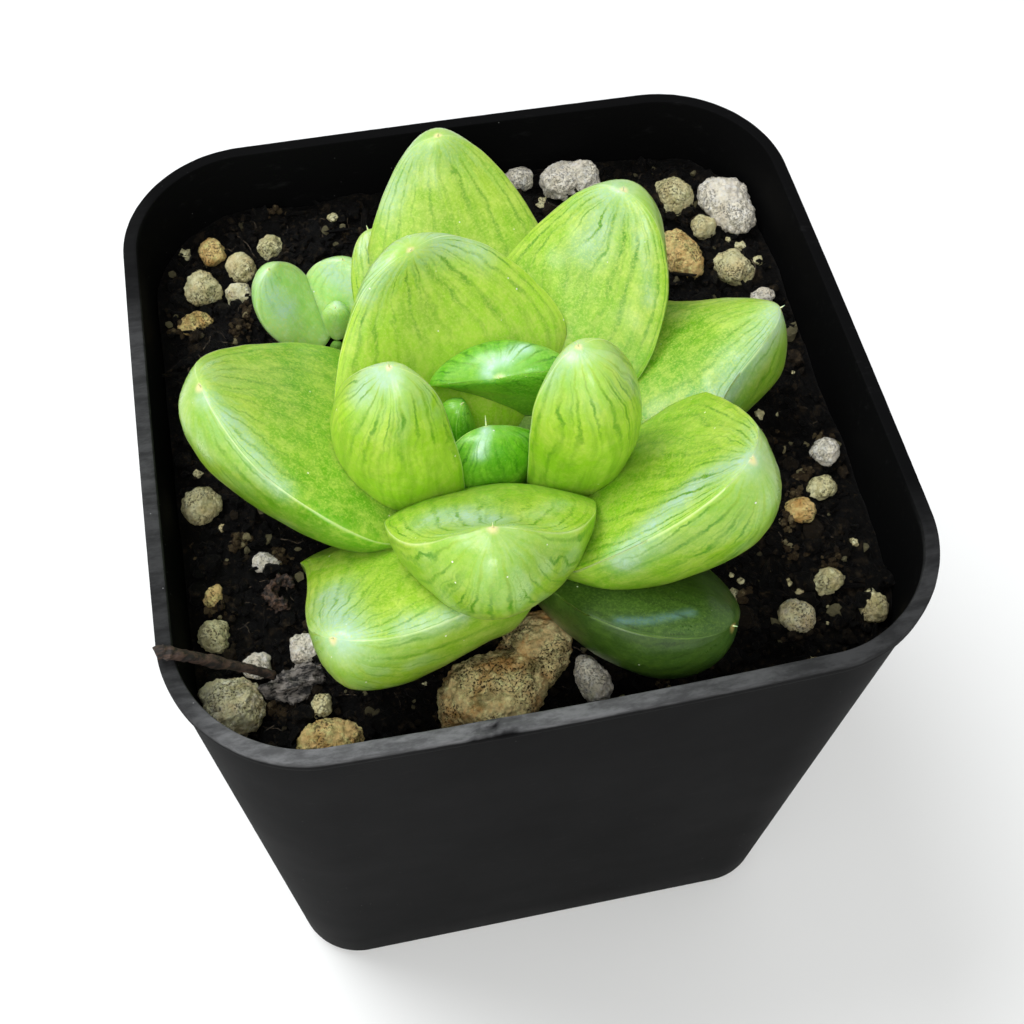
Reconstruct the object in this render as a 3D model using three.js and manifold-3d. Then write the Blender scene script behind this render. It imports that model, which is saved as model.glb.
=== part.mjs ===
// Potted haworthia: a small rosette of thick boat-shaped leaves with one offset,
// in a square black nursery pot filled with dark mix and pumice stones.
// Millimetres, +Z up, origin at the middle of the pot's underside, the pot's front wall at -Y.

import * as THREE from 'three';
import { mergeVertices } from 'three/addons/utils/BufferGeometryUtils.js';
import Module from 'manifold-3d';

const wasm = await Module();
wasm.setup();

// Driving dimensions of the pot
const POT_HEIGHT = 80;
const RIM_HALF_WIDTH = 35;
const RIM_CORNER_RADIUS = 12.5;
const BASE_HALF_WIDTH = 31.5;
const BASE_CORNER_RADIUS = 8;
const WALL = 1.1;
const FLOOR = 1.6;
const BEAD_HEIGHT = 1.8;
const BEAD_PROUD = 0.35;
const FOOT_ROUNDING = 1.2;
const FRONT_BOW = 0.8;
const SIDE_BOW = 0.25;
const DRAIN_HOLE_DIAMETER = 8;
const DRAIN_HOLE_OFFSET = 17;

// Driving dimensions of the mix
const SOIL_LEVEL = 71.2;
const SOIL_TILT = 0.03;
const SOIL_RIPPLE = 0.35;
const CRUMB_COUNT = 14;

// Gap kept between touching pieces
const GAP = 0.3;

// Where the rosette and its offset stand
const CROWN = { x: -3, y: -6 };
const OFFSET_CROWN = { x: -15.3, y: 12.7 };

// How finely the leaves are faceted
const LEAF_STATIONS = 11;
const LEAF_SIDES = 12;
const SMALL_LEAF_STATIONS = 8;
const SMALL_LEAF_SIDES = 10;
const SMALL_LEAF_LENGTH = 11;

const DEGREES = Math.PI / 180;

// The leaves, innermost first. Angles in degrees, sizes in millimetres.
// heading: the way the leaf points, from +X. rise: its slope at the root and before the tip.
// curl: how far the tip turns up. halfWidth, top and belly: how far it bulges sideways, up and down.
// fullest: where along the leaf it is widest. point: low for a pointed tip, high for a round one.
// out, aside and up: the root's distance from the crown's axis, its shift to the left and its height.
const LEAVES = [
  { name: 'leaf_right_inner', heading: -27.5, rise: [68.5, 102], curl: -5, length: 23.4, halfWidth: 5.5,
    top: 2.2, belly: 5.7, roll: -34.5, sweep: -8, fullest: 0.59, point: 2.1, out: 5.6, aside: -0.2, up: 73.1 },
  { name: 'leaf_left_inner', heading: 191, rise: [62.5, 106.5], curl: -37, length: 22.9, halfWidth: 6.7,
    top: 2.0, belly: 5.5, roll: 30, sweep: 25, fullest: 0.42, point: 1.6, out: 5.5, up: 72.7 },
  { name: 'leaf_front_middle', heading: -100, rise: [64.5, 32.5], curl: 65, length: 25.2, halfWidth: 9.2,
    top: 1.9, belly: 8.0, roll: 4.5, sweep: -1, fullest: 0.51, point: 2.0, out: 3.7, up: 72.8 },
  { name: 'leaf_heart_front', heading: -95.5, rise: [82, 98.5], curl: 20, length: 11.1, halfWidth: 5.3,
    top: 0.8, belly: 3.2, roll: 14.5, sweep: 2, fullest: 0.53, point: 2.2, out: 2.5, aside: -0.4, up: 73.1 },
  { name: 'leaf_heart_back', heading: 47.5, rise: [99.5, 121.5], curl: 5, length: 11.5, halfWidth: 7.0,
    top: 0.7, belly: 3.7, roll: 19.5, sweep: 18, fullest: 0.71, point: 2.2, out: 5.5, aside: 0.4, up: 76.3 },
  { name: 'leaf_heart_bud', heading: 159, rise: [64, 90], curl: 18, length: 7.8, halfWidth: 2.1,
    top: 1.0, belly: 2.1, roll: 0, sweep: 0, fullest: 0.58, point: 2.3, out: 1.0, up: 76.3 },
  { name: 'leaf_right_front', heading: -44.5, rise: [53, 45], curl: 13, length: 28.9, halfWidth: 11.4,
    top: 0.6, belly: 8.9, roll: -2, sweep: 3, fullest: 0.54, point: 1.0, out: 5.9, aside: 0.9, up: 72.3 },
  { name: 'leaf_left_big', heading: 166, rise: [32, 32], curl: 32, length: 27.4, halfWidth: 12.9,
    top: 2.0, belly: 8.2, roll: 14.5, sweep: 14, fullest: 0.39, point: 1.7, out: 3.1, aside: 0.3, up: 72.8 },
  { name: 'leaf_back_middle', heading: 103.5, rise: [54.5, 46.5], curl: 66, length: 21.1, halfWidth: 12.0,
    top: 2.1, belly: 4.2, roll: -6, sweep: 22, fullest: 0.41, point: 1.3, out: 2.4, aside: 0.2, up: 74.8 },
  { name: 'leaf_back_right', heading: 47, rise: [25, 36], curl: 50, length: 27.8, halfWidth: 9.2,
    top: 2.0, belly: 7.2, roll: -4.5, sweep: 2, fullest: 0.5, point: 1.7, out: 3.2, aside: 0.2, up: 73.7 },
  { name: 'leaf_right_low', heading: 17.5, rise: [21, 26.5], curl: -2, length: 28.1, halfWidth: 9.2,
    top: 1.7, belly: 8.6, roll: -19, sweep: -17, fullest: 0.67, point: 0.6, out: 4.9, up: 72.6 },
  { name: 'leaf_left_front', heading: -128, rise: [34.5, 15.5], curl: 31, length: 24.5, halfWidth: 12.4,
    top: 2.0, belly: 7.9, roll: 26, sweep: -10, fullest: 0.5, point: 0.7, out: 5.0, aside: 0.5, up: 72.2 },
  { name: 'leaf_back', heading: 86, rise: [16, 31.5], curl: 62, length: 31.6, halfWidth: 9.7,
    top: 2.0, belly: 5.0, roll: -1.5, sweep: 8, fullest: 0.57, point: 1.2, out: 4.3, up: 73.1 },
  { name: 'leaf_back_left', heading: 104, rise: [17, 25], curl: 6, length: 25.0, halfWidth: 5.1,
    top: 1.4, belly: 5.0, roll: -2.5, sweep: 3, fullest: 0.51, point: 2.1, out: 4.0, aside: 0.3, up: 71.6 },
  { name: 'leaf_front_low', heading: -64, rise: [18, 11], curl: 11, length: 26.5, halfWidth: 8.7,
    top: 2.0, belly: 7.1, roll: -30, sweep: 22, fullest: 0.63, point: 1.5, out: 4.0, aside: 0.5, up: 73.6 },
];

const OFFSET_LEAVES = [
  { name: 'offset_leaf_heart', heading: 75, rise: [62, 86], curl: 30, length: 4.2, halfWidth: 1.5,
    top: 0.8, belly: 1.3, roll: 0, sweep: 0, fullest: 0.57, point: 2.3, out: 0.6, up: 72.6 },
  { name: 'offset_leaf_left', heading: 141, rise: [38, 66], curl: 30, length: 10.7, halfWidth: 4.0,
    top: 1.0, belly: 2.2, roll: 3, sweep: -6, fullest: 0.57, point: 1.9, out: 1.3, up: 71.6 },
  { name: 'offset_leaf_right', heading: 74, rise: [34, 55], curl: 28, length: 8.5, halfWidth: 4.2,
    top: 1.0, belly: 2.2, roll: -3, sweep: -4, fullest: 0.57, point: 2.4, out: 1.0, up: 72.0 },
];

// The stones that stand out, each with its place, its size across and its height, its turn and its tone.
// sunk: the share of its height below the mix, where it isn't the usual one.
const USUALLY_SUNK = 0.3;
const STONES = [
  { name: 'stone_front_pumice', at: [-6.5, -28.8], size: [11.6, 8.2, 6.8], turn: 20, tone: 'ochre' },
  { name: 'stone_front_lobe', at: [-2.4, -25.3], size: [7.0, 8.0, 7.2], turn: -6, tone: 'olive' },
  { name: 'stone_front_crumb', at: [2.3, -28.8], size: [3.0, 4.6, 3.8], turn: 8, tone: 'cream' },
  { name: 'stone_corner_pumice', at: [-30.2, -25.0], size: [6.2, 6.8, 5.6], turn: 30, tone: 'cream' },
  { name: 'stone_front_ochre', at: [-22.2, -29.8], size: [6.8, 4.4, 4.0], turn: 14, tone: 'ochre' },
  { name: 'stone_front_small', at: [-22.4, -26.3], size: [2.4, 2.8, 2.4], turn: 0, tone: 'olive' },
  { name: 'stone_under_twig', at: [-27.4, -21.2], size: [3.1, 3.0, 2.6], turn: 40, sunk: 0.35, tone: 'cream' },
  { name: 'stone_by_leaf', at: [-23.2, -20.5], size: [3.0, 3.2, 2.6], turn: 12, tone: 'cream' },
  { name: 'stone_left_a', at: [-31.1, -17.8], size: [3.4, 4.0, 3.2], turn: 5, tone: 'olive' },
  { name: 'stone_left_b', at: [-30.9, -14.0], size: [2.2, 2.6, 2.2], turn: 20, tone: 'ochre' },
  { name: 'stone_left_c', at: [-31.0, -3.7], size: [3.9, 4.1, 3.4], turn: 50, sunk: 0.35, tone: 'olive' },
  { name: 'stone_left_d', at: [-25.6, -11.0], size: [3.1, 2.5, 2.2], turn: 0, sunk: 0.35, tone: 'cream' },
  { name: 'stone_back_left_a', at: [-26.7, 27.7], size: [3.3, 3.3, 2.8], turn: 10, tone: 'ochre' },
  { name: 'stone_back_left_b', at: [-24.1, 25.4], size: [2.8, 3.9, 2.8], turn: 25, tone: 'olive' },
  { name: 'stone_back_left_c', at: [-20.5, 27.3], size: [3.4, 3.2, 2.8], turn: 60, tone: 'olive' },
  { name: 'stone_back_left_d', at: [-28.3, 22.8], size: [4.5, 4.8, 3.9], turn: 25, sunk: 0.35, tone: 'olive' },
  { name: 'stone_back_left_e', at: [-24.5, 21.8], size: [2.7, 2.7, 2.3], turn: 5, sunk: 0.35, tone: 'cream' },
  { name: 'stone_back_left_f', at: [-29.8, 18.4], size: [4.2, 2.5, 2.3], turn: 8, sunk: 0.35, tone: 'ochre' },
  { name: 'stone_back_a', at: [8.0, 31.6], size: [3.4, 2.8, 2.6], turn: 0, tone: 'cream' },
  { name: 'stone_back_b', at: [13.5, 30.2], size: [7.4, 5.2, 4.8], turn: 6, tone: 'cream' },
  { name: 'stone_back_right_a', at: [24.3, 26.0], size: [4.6, 5.2, 4.2], turn: 18, tone: 'olive' },
  { name: 'stone_back_right_b', at: [30.2, 24.0], size: [4.7, 8.2, 4.6], turn: 12, tone: 'cream' },
  { name: 'stone_back_right_c', at: [26.6, 21.2], size: [2.9, 2.8, 2.6], turn: 0, tone: 'olive' },
  { name: 'stone_back_right_d', at: [23.3, 18.0], size: [4.6, 7.4, 4.2], turn: 10, sunk: 0.35, tone: 'ochre' },
  { name: 'stone_back_right_e', at: [28.4, 15.4], size: [4.1, 5.2, 4.0], turn: 20, sunk: 0.35, tone: 'olive' },
  { name: 'stone_back_right_f', at: [30.3, 10.8], size: [3.0, 2.0, 2.0], turn: 0, sunk: 0.35, tone: 'cream' },
  { name: 'stone_right_a', at: [31.0, -9.4], size: [3.2, 3.5, 2.9], turn: 22, tone: 'cream' },
  { name: 'stone_right_b', at: [29.5, -13.1], size: [2.8, 3.0, 2.6], turn: 55, sunk: 0.35, tone: 'olive' },
  { name: 'stone_right_c', at: [26.6, -15.3], size: [3.0, 2.9, 2.6], turn: 12, sunk: 0.35, tone: 'ochre' },
  { name: 'stone_right_d', at: [26.8, -23.3], size: [3.3, 3.6, 3.0], turn: 70, tone: 'olive' },
  { name: 'stone_right_e', at: [22.8, -26.3], size: [3.4, 3.7, 3.1], turn: 33, tone: 'cream' },
  { name: 'stone_right_f', at: [30.3, -26.4], size: [2.5, 3.5, 2.8], turn: 10, tone: 'olive' },
];

const COLOURS = {
  pot: 0x26272a,
  soil: 0x1d1915,
  stem: 0xb7a981,
  leaf: 0x9fcb3b,
  heart: 0x5fa51f,
  shaded: 0x47752a,
  twig: 0x5a4234,
  bark: 0x77706a,
  scrap: 0x8d6a55,
  ochre: 0xbb9c62,
  olive: 0xa09a70,
  cream: 0xcfc8ae,
};

// Seeded random numbers from 0 to 1
function seededRandom(seed) {
  let state = seed >>> 0;
  return () => {
    state = (state + 0x6d2b79f5) >>> 0;
    let t = state;
    t = Math.imul(t ^ (t >>> 15), t | 1);
    t ^= t + Math.imul(t ^ (t >>> 7), t | 61);
    return ((t ^ (t >>> 14)) >>> 0) / 4294967296;
  };
}

// Closed mesh from rings of points, with a point at each end. Rings turn counterclockwise
// as seen from the end point.
function loft(rings, startPoint, endPoint) {
  const sides = rings[0].length;
  const positions = [...startPoint];
  for (const point of rings.flat()) positions.push(...point);
  positions.push(...endPoint);
  const last = positions.length / 3 - 1;
  const index = [];
  const id = (ring, side) => 1 + ring * sides + (side % sides);
  for (let j = 0; j < sides; j++) {
    index.push(0, id(0, j + 1), id(0, j));
    for (let i = 0; i < rings.length - 1; i++) {
      index.push(id(i, j), id(i, j + 1), id(i + 1, j + 1));
      index.push(id(i, j), id(i + 1, j + 1), id(i + 1, j));
    }
    index.push(id(rings.length - 1, j), id(rings.length - 1, j + 1), last);
  }
  const geometry = new THREE.BufferGeometry();
  geometry.setAttribute('position', new THREE.Float32BufferAttribute(positions, 3));
  geometry.setIndex(index);
  return geometry;
}

function solidOf(geometry) {
  const plain = geometry.clone();
  plain.deleteAttribute('normal');
  plain.deleteAttribute('uv');
  const merged = mergeVertices(plain, 1e-4);
  return new wasm.Manifold(new wasm.Mesh({
    numProp: 3,
    vertProperties: new Float32Array(merged.attributes.position.array),
    triVerts: new Uint32Array(merged.index.array),
  }));
}

function geometryOf(solid) {
  const mesh = solid.getMesh();
  const geometry = new THREE.BufferGeometry();
  geometry.setAttribute('position', new THREE.BufferAttribute(new Float32Array(mesh.vertProperties), 3));
  geometry.setIndex(new THREE.BufferAttribute(new Uint32Array(mesh.triVerts), 1));
  return geometry;
}

// What is left of a cut piece: its largest body
function largestBody(solid) {
  const bodies = solid.decompose();
  return bodies.reduce((best, body) => (body.volume() > best.volume() ? body : best));
}

function cut(solid, cutters) {
  let left = solid;
  for (const cutter of cutters) left = left.subtract(cutter);
  return largestBody(left);
}

function join(solids) {
  return solids.reduce((sum, solid) => sum.add(solid));
}

// Square outline with round corners and slightly bowed sides, counterclockwise from above
const CORNER_STEPS = 5;
const SIDE_STEPS = 3;
function squareOutline(half, radius, z) {
  const share = z / POT_HEIGHT;
  const points = [];
  for (let corner = 0; corner < 4; corner++) {
    const start = corner * 90;
    const cx = (corner === 0 || corner === 3 ? 1 : -1) * (half - radius);
    const cy = (corner < 2 ? 1 : -1) * (half - radius);
    const arc = [];
    for (let i = 0; i <= CORNER_STEPS; i++) {
      const angle = (start + (90 * i) / CORNER_STEPS) * DEGREES;
      arc.push([cx + radius * Math.cos(angle), cy + radius * Math.sin(angle)]);
    }
    points.push(...arc);
    const [x0, y0] = arc[CORNER_STEPS];
    const turn = (start + 90) * DEGREES;
    const run = 2 * (half - radius);
    for (let i = 1; i < SIDE_STEPS; i++) {
      const along = (run * i) / SIDE_STEPS;
      points.push([x0 - along * Math.sin(turn), y0 + along * Math.cos(turn)]);
    }
  }
  return points.map(([x, y]) => {
    const front = y < 0 ? FRONT_BOW : SIDE_BOW;
    const bowX = SIDE_BOW * share * (1 - (y / half) ** 2) * (Math.abs(x) / half) ** 6;
    const bowY = front * share * share * (1 - (x / half) ** 2) * (Math.abs(y) / half) ** 6;
    return [x + Math.sign(x) * bowX, y + Math.sign(y) * bowY, z];
  });
}

// Half-width and corner radius of the pot's outside, leaving out the bead
function potOutside(z) {
  const share = z / POT_HEIGHT;
  return {
    half: BASE_HALF_WIDTH + (RIM_HALF_WIDTH - BEAD_PROUD - BASE_HALF_WIDTH) * share,
    radius: BASE_CORNER_RADIUS + (RIM_CORNER_RADIUS - BASE_CORNER_RADIUS) * share,
  };
}

function outsideRing(z, out) {
  const { half, radius } = potOutside(z);
  return squareOutline(half + out, radius + out, z);
}

function potGeometry() {
  const beadBottom = POT_HEIGHT - BEAD_HEIGHT;
  const rings = [
    outsideRing(0, -FOOT_ROUNDING),
    outsideRing(FOOT_ROUNDING * 0.3, -FOOT_ROUNDING * 0.3),
    outsideRing(FOOT_ROUNDING, 0),
    outsideRing(POT_HEIGHT / 2, 0),
    outsideRing(beadBottom, 0),
    outsideRing(beadBottom + 0.4, BEAD_PROUD),
    outsideRing(POT_HEIGHT - 0.3, BEAD_PROUD),
    outsideRing(POT_HEIGHT, BEAD_PROUD - 0.2),
    outsideRing(POT_HEIGHT, 0.2 - WALL),
    outsideRing(POT_HEIGHT - 0.3, -WALL),
    outsideRing(POT_HEIGHT / 2, -WALL),
    outsideRing(FLOOR + FOOT_ROUNDING, -WALL),
    outsideRing(FLOOR, -WALL - FOOT_ROUNDING),
  ];
  const shell = solidOf(loft(rings, [0, 0, 0], [0, 0, FLOOR]));
  const holes = [];
  for (const sx of [-1, 1]) {
    for (const sy of [-1, 1]) {
      const radius = DRAIN_HOLE_DIAMETER / 2;
      const hole = new THREE.CylinderGeometry(radius, radius, 3 * FLOOR, 12);
      hole.rotateX(Math.PI / 2);
      hole.translate(sx * DRAIN_HOLE_OFFSET, sy * DRAIN_HOLE_OFFSET, FLOOR / 2);
      holes.push(solidOf(hole));
    }
  }
  return geometryOf(cut(shell, holes));
}

function soilHeight(x, y) {
  const broad = Math.sin(x * 0.31 + 0.7) * Math.cos(y * 0.27 - 0.4);
  const slanting = 0.6 * Math.sin(x * 0.62 - y * 0.55 + 1.9);
  return SOIL_LEVEL + SOIL_TILT * y + SOIL_RIPPLE * (broad + slanting);
}

// A stone: a ball with soft lumps and a few flat chips, seeded
function stoneGeometry(size, detail, seed, grow) {
  const random = seededRandom(seed);
  const direction = () => {
    const z = 2 * random() - 1;
    const turn = 2 * Math.PI * random();
    const r = Math.sqrt(1 - z * z);
    return new THREE.Vector3(r * Math.cos(turn), r * Math.sin(turn), z);
  };
  const lumps = Array.from({ length: 5 }, () => ({ way: direction(), tall: 0.1 + 0.14 * random() }));
  const chips = Array.from({ length: 8 }, () => ({ way: direction(), far: 0.68 + 0.16 * random() }));
  const geometry = mergeVertices(stripped(new THREE.IcosahedronGeometry(1, detail)), 1e-4);
  const position = geometry.attributes.position;
  const point = new THREE.Vector3();
  for (let i = 0; i < position.count; i++) {
    point.fromBufferAttribute(position, i).normalize();
    const way = point.clone();
    let radius = 0.94;
    for (const lump of lumps) radius += lump.tall * Math.max(0, way.dot(lump.way)) ** 4;
    point.multiplyScalar(radius);
    for (const chip of chips) {
      const over = point.dot(chip.way) - chip.far;
      if (over > 0) point.addScaledVector(chip.way, -0.8 * over);
    }
    point.set(point.x * size[0], point.y * size[1], point.z * size[2]).multiplyScalar(0.5);
    point.addScaledVector(way, grow);
    position.setXYZ(i, point.x, point.y, point.z);
  }
  return geometry;
}

function stripped(geometry) {
  geometry.deleteAttribute('normal');
  geometry.deleteAttribute('uv');
  return geometry;
}

function placedStone(stone, seed, grow) {
  const detail = Math.max(...stone.size) > 8.5 ? 2 : 1;
  const geometry = stoneGeometry(stone.size, detail, seed, grow);
  geometry.rotateZ(stone.turn * DEGREES);
  const [x, y] = stone.at;
  const sunk = stone.sunk ?? USUALLY_SUNK;
  geometry.translate(x, y, soilHeight(x, y) + stone.size[2] * (0.5 - sunk));
  return solidOf(geometry);
}

// A tube along a smooth curve through the given points
function tube(points, radius, steps, sides) {
  const curve = new THREE.CatmullRomCurve3(points.map((p) => new THREE.Vector3(...p)));
  const section = new THREE.Shape();
  for (let i = 0; i < sides; i++) {
    const angle = (2 * Math.PI * i) / sides;
    const x = radius * Math.cos(angle);
    const y = radius * Math.sin(angle);
    if (i === 0) section.moveTo(x, y);
    else section.lineTo(x, y);
  }
  section.closePath();
  return solidOf(new THREE.ExtrudeGeometry(section, { steps, bevelEnabled: false, extrudePath: curve }));
}

function inside(z, inset) {
  return outsideRing(z, -WALL - GAP - inset);
}

// The room in the pot, clear of its walls: a stone that leans on a wall is flat there
function basinBody() {
  const top = POT_HEIGHT + 10;
  return solidOf(loft([inside(40, 0), inside(top, 0)], [0, 0, 40], [0, 0, top]));
}

// The mix: fills the pot to its level, with a rippled top and crumbs grown into it
function soilBody() {
  const rings = [inside(FLOOR + GAP, FOOT_ROUNDING), inside(FLOOR + GAP + FOOT_ROUNDING, 0), inside(40, 0)];
  const edge = inside(SOIL_LEVEL, 0);
  for (const share of [1, 0.9, 0.75, 0.6, 0.45, 0.3, 0.15]) {
    rings.push(edge.map(([x, y]) => {
      const px = CROWN.x + (x - CROWN.x) * share;
      const py = CROWN.y + (y - CROWN.y) * share;
      return [px, py, soilHeight(px, py)];
    }));
  }
  const top = [CROWN.x, CROWN.y, soilHeight(CROWN.x, CROWN.y)];
  const body = solidOf(loft(rings, [0, 0, FLOOR + GAP], top));
  const random = seededRandom(71);
  const crumbs = [];
  const reach = BASE_HALF_WIDTH - 3;
  for (let i = 0; i < CRUMB_COUNT; i++) {
    const x = (2 * random() - 1) * reach;
    const y = (2 * random() - 1) * reach;
    const across = 1.4 + 1.6 * random();
    const crumb = stoneGeometry([across, across * 0.8, across * 0.7], 0, 500 + i, 0);
    crumb.rotateZ(Math.PI * random());
    crumb.translate(x, y, soilHeight(x, y));
    crumbs.push(solidOf(crumb));
  }
  return join([body, ...crumbs]);
}

// The crown's and the offset's short stems, as radius and height from the lowest point up
const MAIN_PROFILE = [[0, 60], [1.6, 60.5], [4.0, 68], [4.2, 73], [2.6, 75.0], [0.9, 76.2], [0, 76.5]];
const OFFSET_PROFILE = [[0, 66], [1.0, 66.4], [1.3, 71], [0.5, 72.9], [0, 73.1]];

// The crown with its roots, and the runner that carries the offset, grown as one piece
function stemBody(grow) {
  const crown = (at, profile) => {
    const points = profile.map(([r, z]) => new THREE.Vector2(r > 0 ? r + grow : 0, z));
    points[0].y -= grow;
    points[points.length - 1].y += grow;
    const turned = new THREE.LatheGeometry(points, 10);
    turned.rotateX(Math.PI / 2);
    turned.translate(at.x, at.y, 0);
    return solidOf(turned);
  };
  const main = crown(CROWN, MAIN_PROFILE);
  const small = crown(OFFSET_CROWN, OFFSET_PROFILE);
  const parts = [main, small];
  const rootHeadings = [20, 110, 195, 290];
  rootHeadings.forEach((heading, i) => {
    const way = [Math.cos(heading * DEGREES), Math.sin(heading * DEGREES)];
    const deep = 40 - 4 * (i % 2);
    const at = (r, z) => [CROWN.x + way[0] * r, CROWN.y + way[1] * r, z];
    parts.push(tube([at(0.8, 64), at(6, 60), at(11, 52), at(13, deep)], 1.1 + grow, 5, 6));
  });
  const from = [CROWN.x, CROWN.y, 66];
  const to = [OFFSET_CROWN.x, OFFSET_CROWN.y, 67.2];
  const middle = [(from[0] + to[0]) / 2, (from[1] + to[1]) / 2, 65];
  parts.push(tube([from, middle, to], 0.9 + grow, 4, 6));
  return join(parts);
}

// How wide a leaf is along its length: from a part of its width at the root to its fullest
// place, then closing at the tip
function widthShare(t, fullest, root, point, closing) {
  if (t < fullest) return root + (1 - root) * Math.sin((t / fullest) * (Math.PI / 2));
  const past = (t - fullest) / (1 - fullest);
  return Math.max(0, 1 - past ** point) ** closing;
}

const MIDRIB_STEPS = 120;
const CURL_FROM = 0.7;

// Places and directions along a leaf's midrib
function midrib(leaf, crown, grow) {
  const points = [];
  const ahead = [Math.cos(leaf.heading * DEGREES), Math.sin(leaf.heading * DEGREES)];
  const aside = leaf.aside ?? 0;
  const place = new THREE.Vector3(
    crown.x + leaf.out * ahead[0] - aside * ahead[1],
    crown.y + leaf.out * ahead[1] + aside * ahead[0],
    leaf.up,
  );
  let before = null;
  for (let i = 0; i <= MIDRIB_STEPS; i++) {
    const t = i / MIDRIB_STEPS;
    const curl = leaf.curl * Math.max(0, (t - CURL_FROM) / (1 - CURL_FROM)) ** 2;
    const rise = (leaf.rise[0] + (leaf.rise[1] - leaf.rise[0]) * t + curl) * DEGREES;
    const turn = (leaf.heading + leaf.sweep * t ** 1.5) * DEGREES;
    const along = new THREE.Vector3(
      Math.cos(rise) * Math.cos(turn), Math.cos(rise) * Math.sin(turn), Math.sin(rise));
    const side = new THREE.Vector3(-Math.sin(turn), Math.cos(turn), 0);
    const step = leaf.length / MIDRIB_STEPS;
    if (before) place.addScaledVector(before.clone().add(along), step / 2);
    else place.addScaledVector(along, -grow);
    points.push({ place: place.clone(), along, side });
    before = along;
  }
  return points;
}

function leafBody(leaf, crown, grow) {
  const small = leaf.length < SMALL_LEAF_LENGTH;
  const stations = small ? SMALL_LEAF_STATIONS : LEAF_STATIONS;
  const sides = small ? SMALL_LEAF_SIDES : LEAF_SIDES;
  const line = midrib(leaf, crown, grow);
  const early = Math.round(stations * 0.5);
  const shares = [];
  for (let i = 0; i < early; i++) shares.push((CURL_FROM * i) / early);
  for (let i = 0; i < stations - early; i++) {
    shares.push(CURL_FROM + (1 - CURL_FROM) * Math.sin(((i / (stations - early)) * Math.PI) / 2));
  }
  const roll = leaf.roll * DEGREES;
  const rings = shares.map((t) => {
    const { place, along, side } = line[Math.round(t * MIDRIB_STEPS)];
    const upward = new THREE.Vector3().crossVectors(along, side);
    const across = side.clone().multiplyScalar(Math.cos(roll)).addScaledVector(upward, Math.sin(roll));
    const above = upward.clone().multiplyScalar(Math.cos(roll)).addScaledVector(side, -Math.sin(roll));
    const wide = widthShare(t, leaf.fullest, 0.45, leaf.point, 1 / 1.9);
    const deep = widthShare(t, Math.min(leaf.fullest + 0.06, 0.8), 0.7, 2.8, 0.5);
    const ring = [];
    for (let j = 0; j < sides; j++) {
      const angle = (2 * Math.PI * j) / sides;
      const c = Math.cos(angle);
      const s = Math.sin(angle);
      const lift = s > 0 ? (leaf.top * s ** 1.7) : (-leaf.belly * (-s) ** 1.15);
      const point = place.clone()
        .addScaledVector(across, leaf.halfWidth * wide * c + grow * c)
        .addScaledVector(above, deep * lift + grow * s);
      ring.push(point.toArray());
    }
    return ring;
  });
  const tip = line[MIDRIB_STEPS].place.clone().addScaledVector(line[MIDRIB_STEPS].along, grow);
  return solidOf(loft(rings, line[0].place.toArray(), tip.toArray()));
}

// The twig leans on the rim's left side near the front corner and ends on the bark
const TWIG_RADIUS = 0.45;
const TWIG_POINTS = [[-34.9, -23.5, 81.0], [-33.8, -23.5, 80.85], [-31.0, -23.45, 78.1], [-26.1, -23.6, 73.0]];
function twigBody(grow) {
  return tube(TWIG_POINTS, TWIG_RADIUS + grow, 8, 6);
}

const BARK = { at: [-24.3, -23.9], size: [6.4, 2.6, 2.8], turn: 14, sunk: 0.22 };
function barkBody(grow) {
  return placedStone(BARK, 905, grow);
}

// The dry scrap: a thin curled strip standing on its edge in the mix
const SCRAP = { at: [-24.0, -15.3], curlRadius: 1.7, thick: 0.7, wide: 2.4, turn: 28, sunk: 0.7 };
function scrapBody(grow) {
  const outer = SCRAP.curlRadius + grow;
  const inner = SCRAP.curlRadius - SCRAP.thick - grow;
  const from = 20 * DEGREES;
  const to = 250 * DEGREES;
  const band = new THREE.Shape();
  band.absarc(0, 0, outer, from, to, false);
  band.absarc(0, 0, inner, to, from, true);
  band.closePath();
  const geometry = new THREE.ExtrudeGeometry(band, {
    depth: SCRAP.wide + 2 * grow, bevelEnabled: false, curveSegments: 10, steps: 1,
  });
  geometry.translate(0, 0, -grow);
  geometry.rotateX(-20 * DEGREES);
  geometry.rotateZ(SCRAP.turn * DEGREES);
  const [x, y] = SCRAP.at;
  geometry.translate(x, y, soilHeight(x, y) - SCRAP.sunk);
  return solidOf(geometry);
}

const group = new THREE.Group();

function addPiece(name, geometry, colour, roughness) {
  const material = new THREE.MeshStandardMaterial({ color: colour, roughness, metalness: 0 });
  const mesh = new THREE.Mesh(geometry, material);
  mesh.name = name;
  group.add(mesh);
}

// Leaves: each is cut clear of the crown and of the leaves that press on it from inside
const stemRoom = stemBody(GAP);
const leafRooms = [];
const leafSolids = [];
function attach(leaf, crown) {
  leafSolids.push([leaf.name, cut(leafBody(leaf, crown, 0), [stemRoom, ...leafRooms])]);
  leafRooms.push(leafBody(leaf, crown, GAP));
}
for (const leaf of LEAVES) attach(leaf, CROWN);
for (const leaf of OFFSET_LEAVES) attach(leaf, OFFSET_CROWN);

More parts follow.
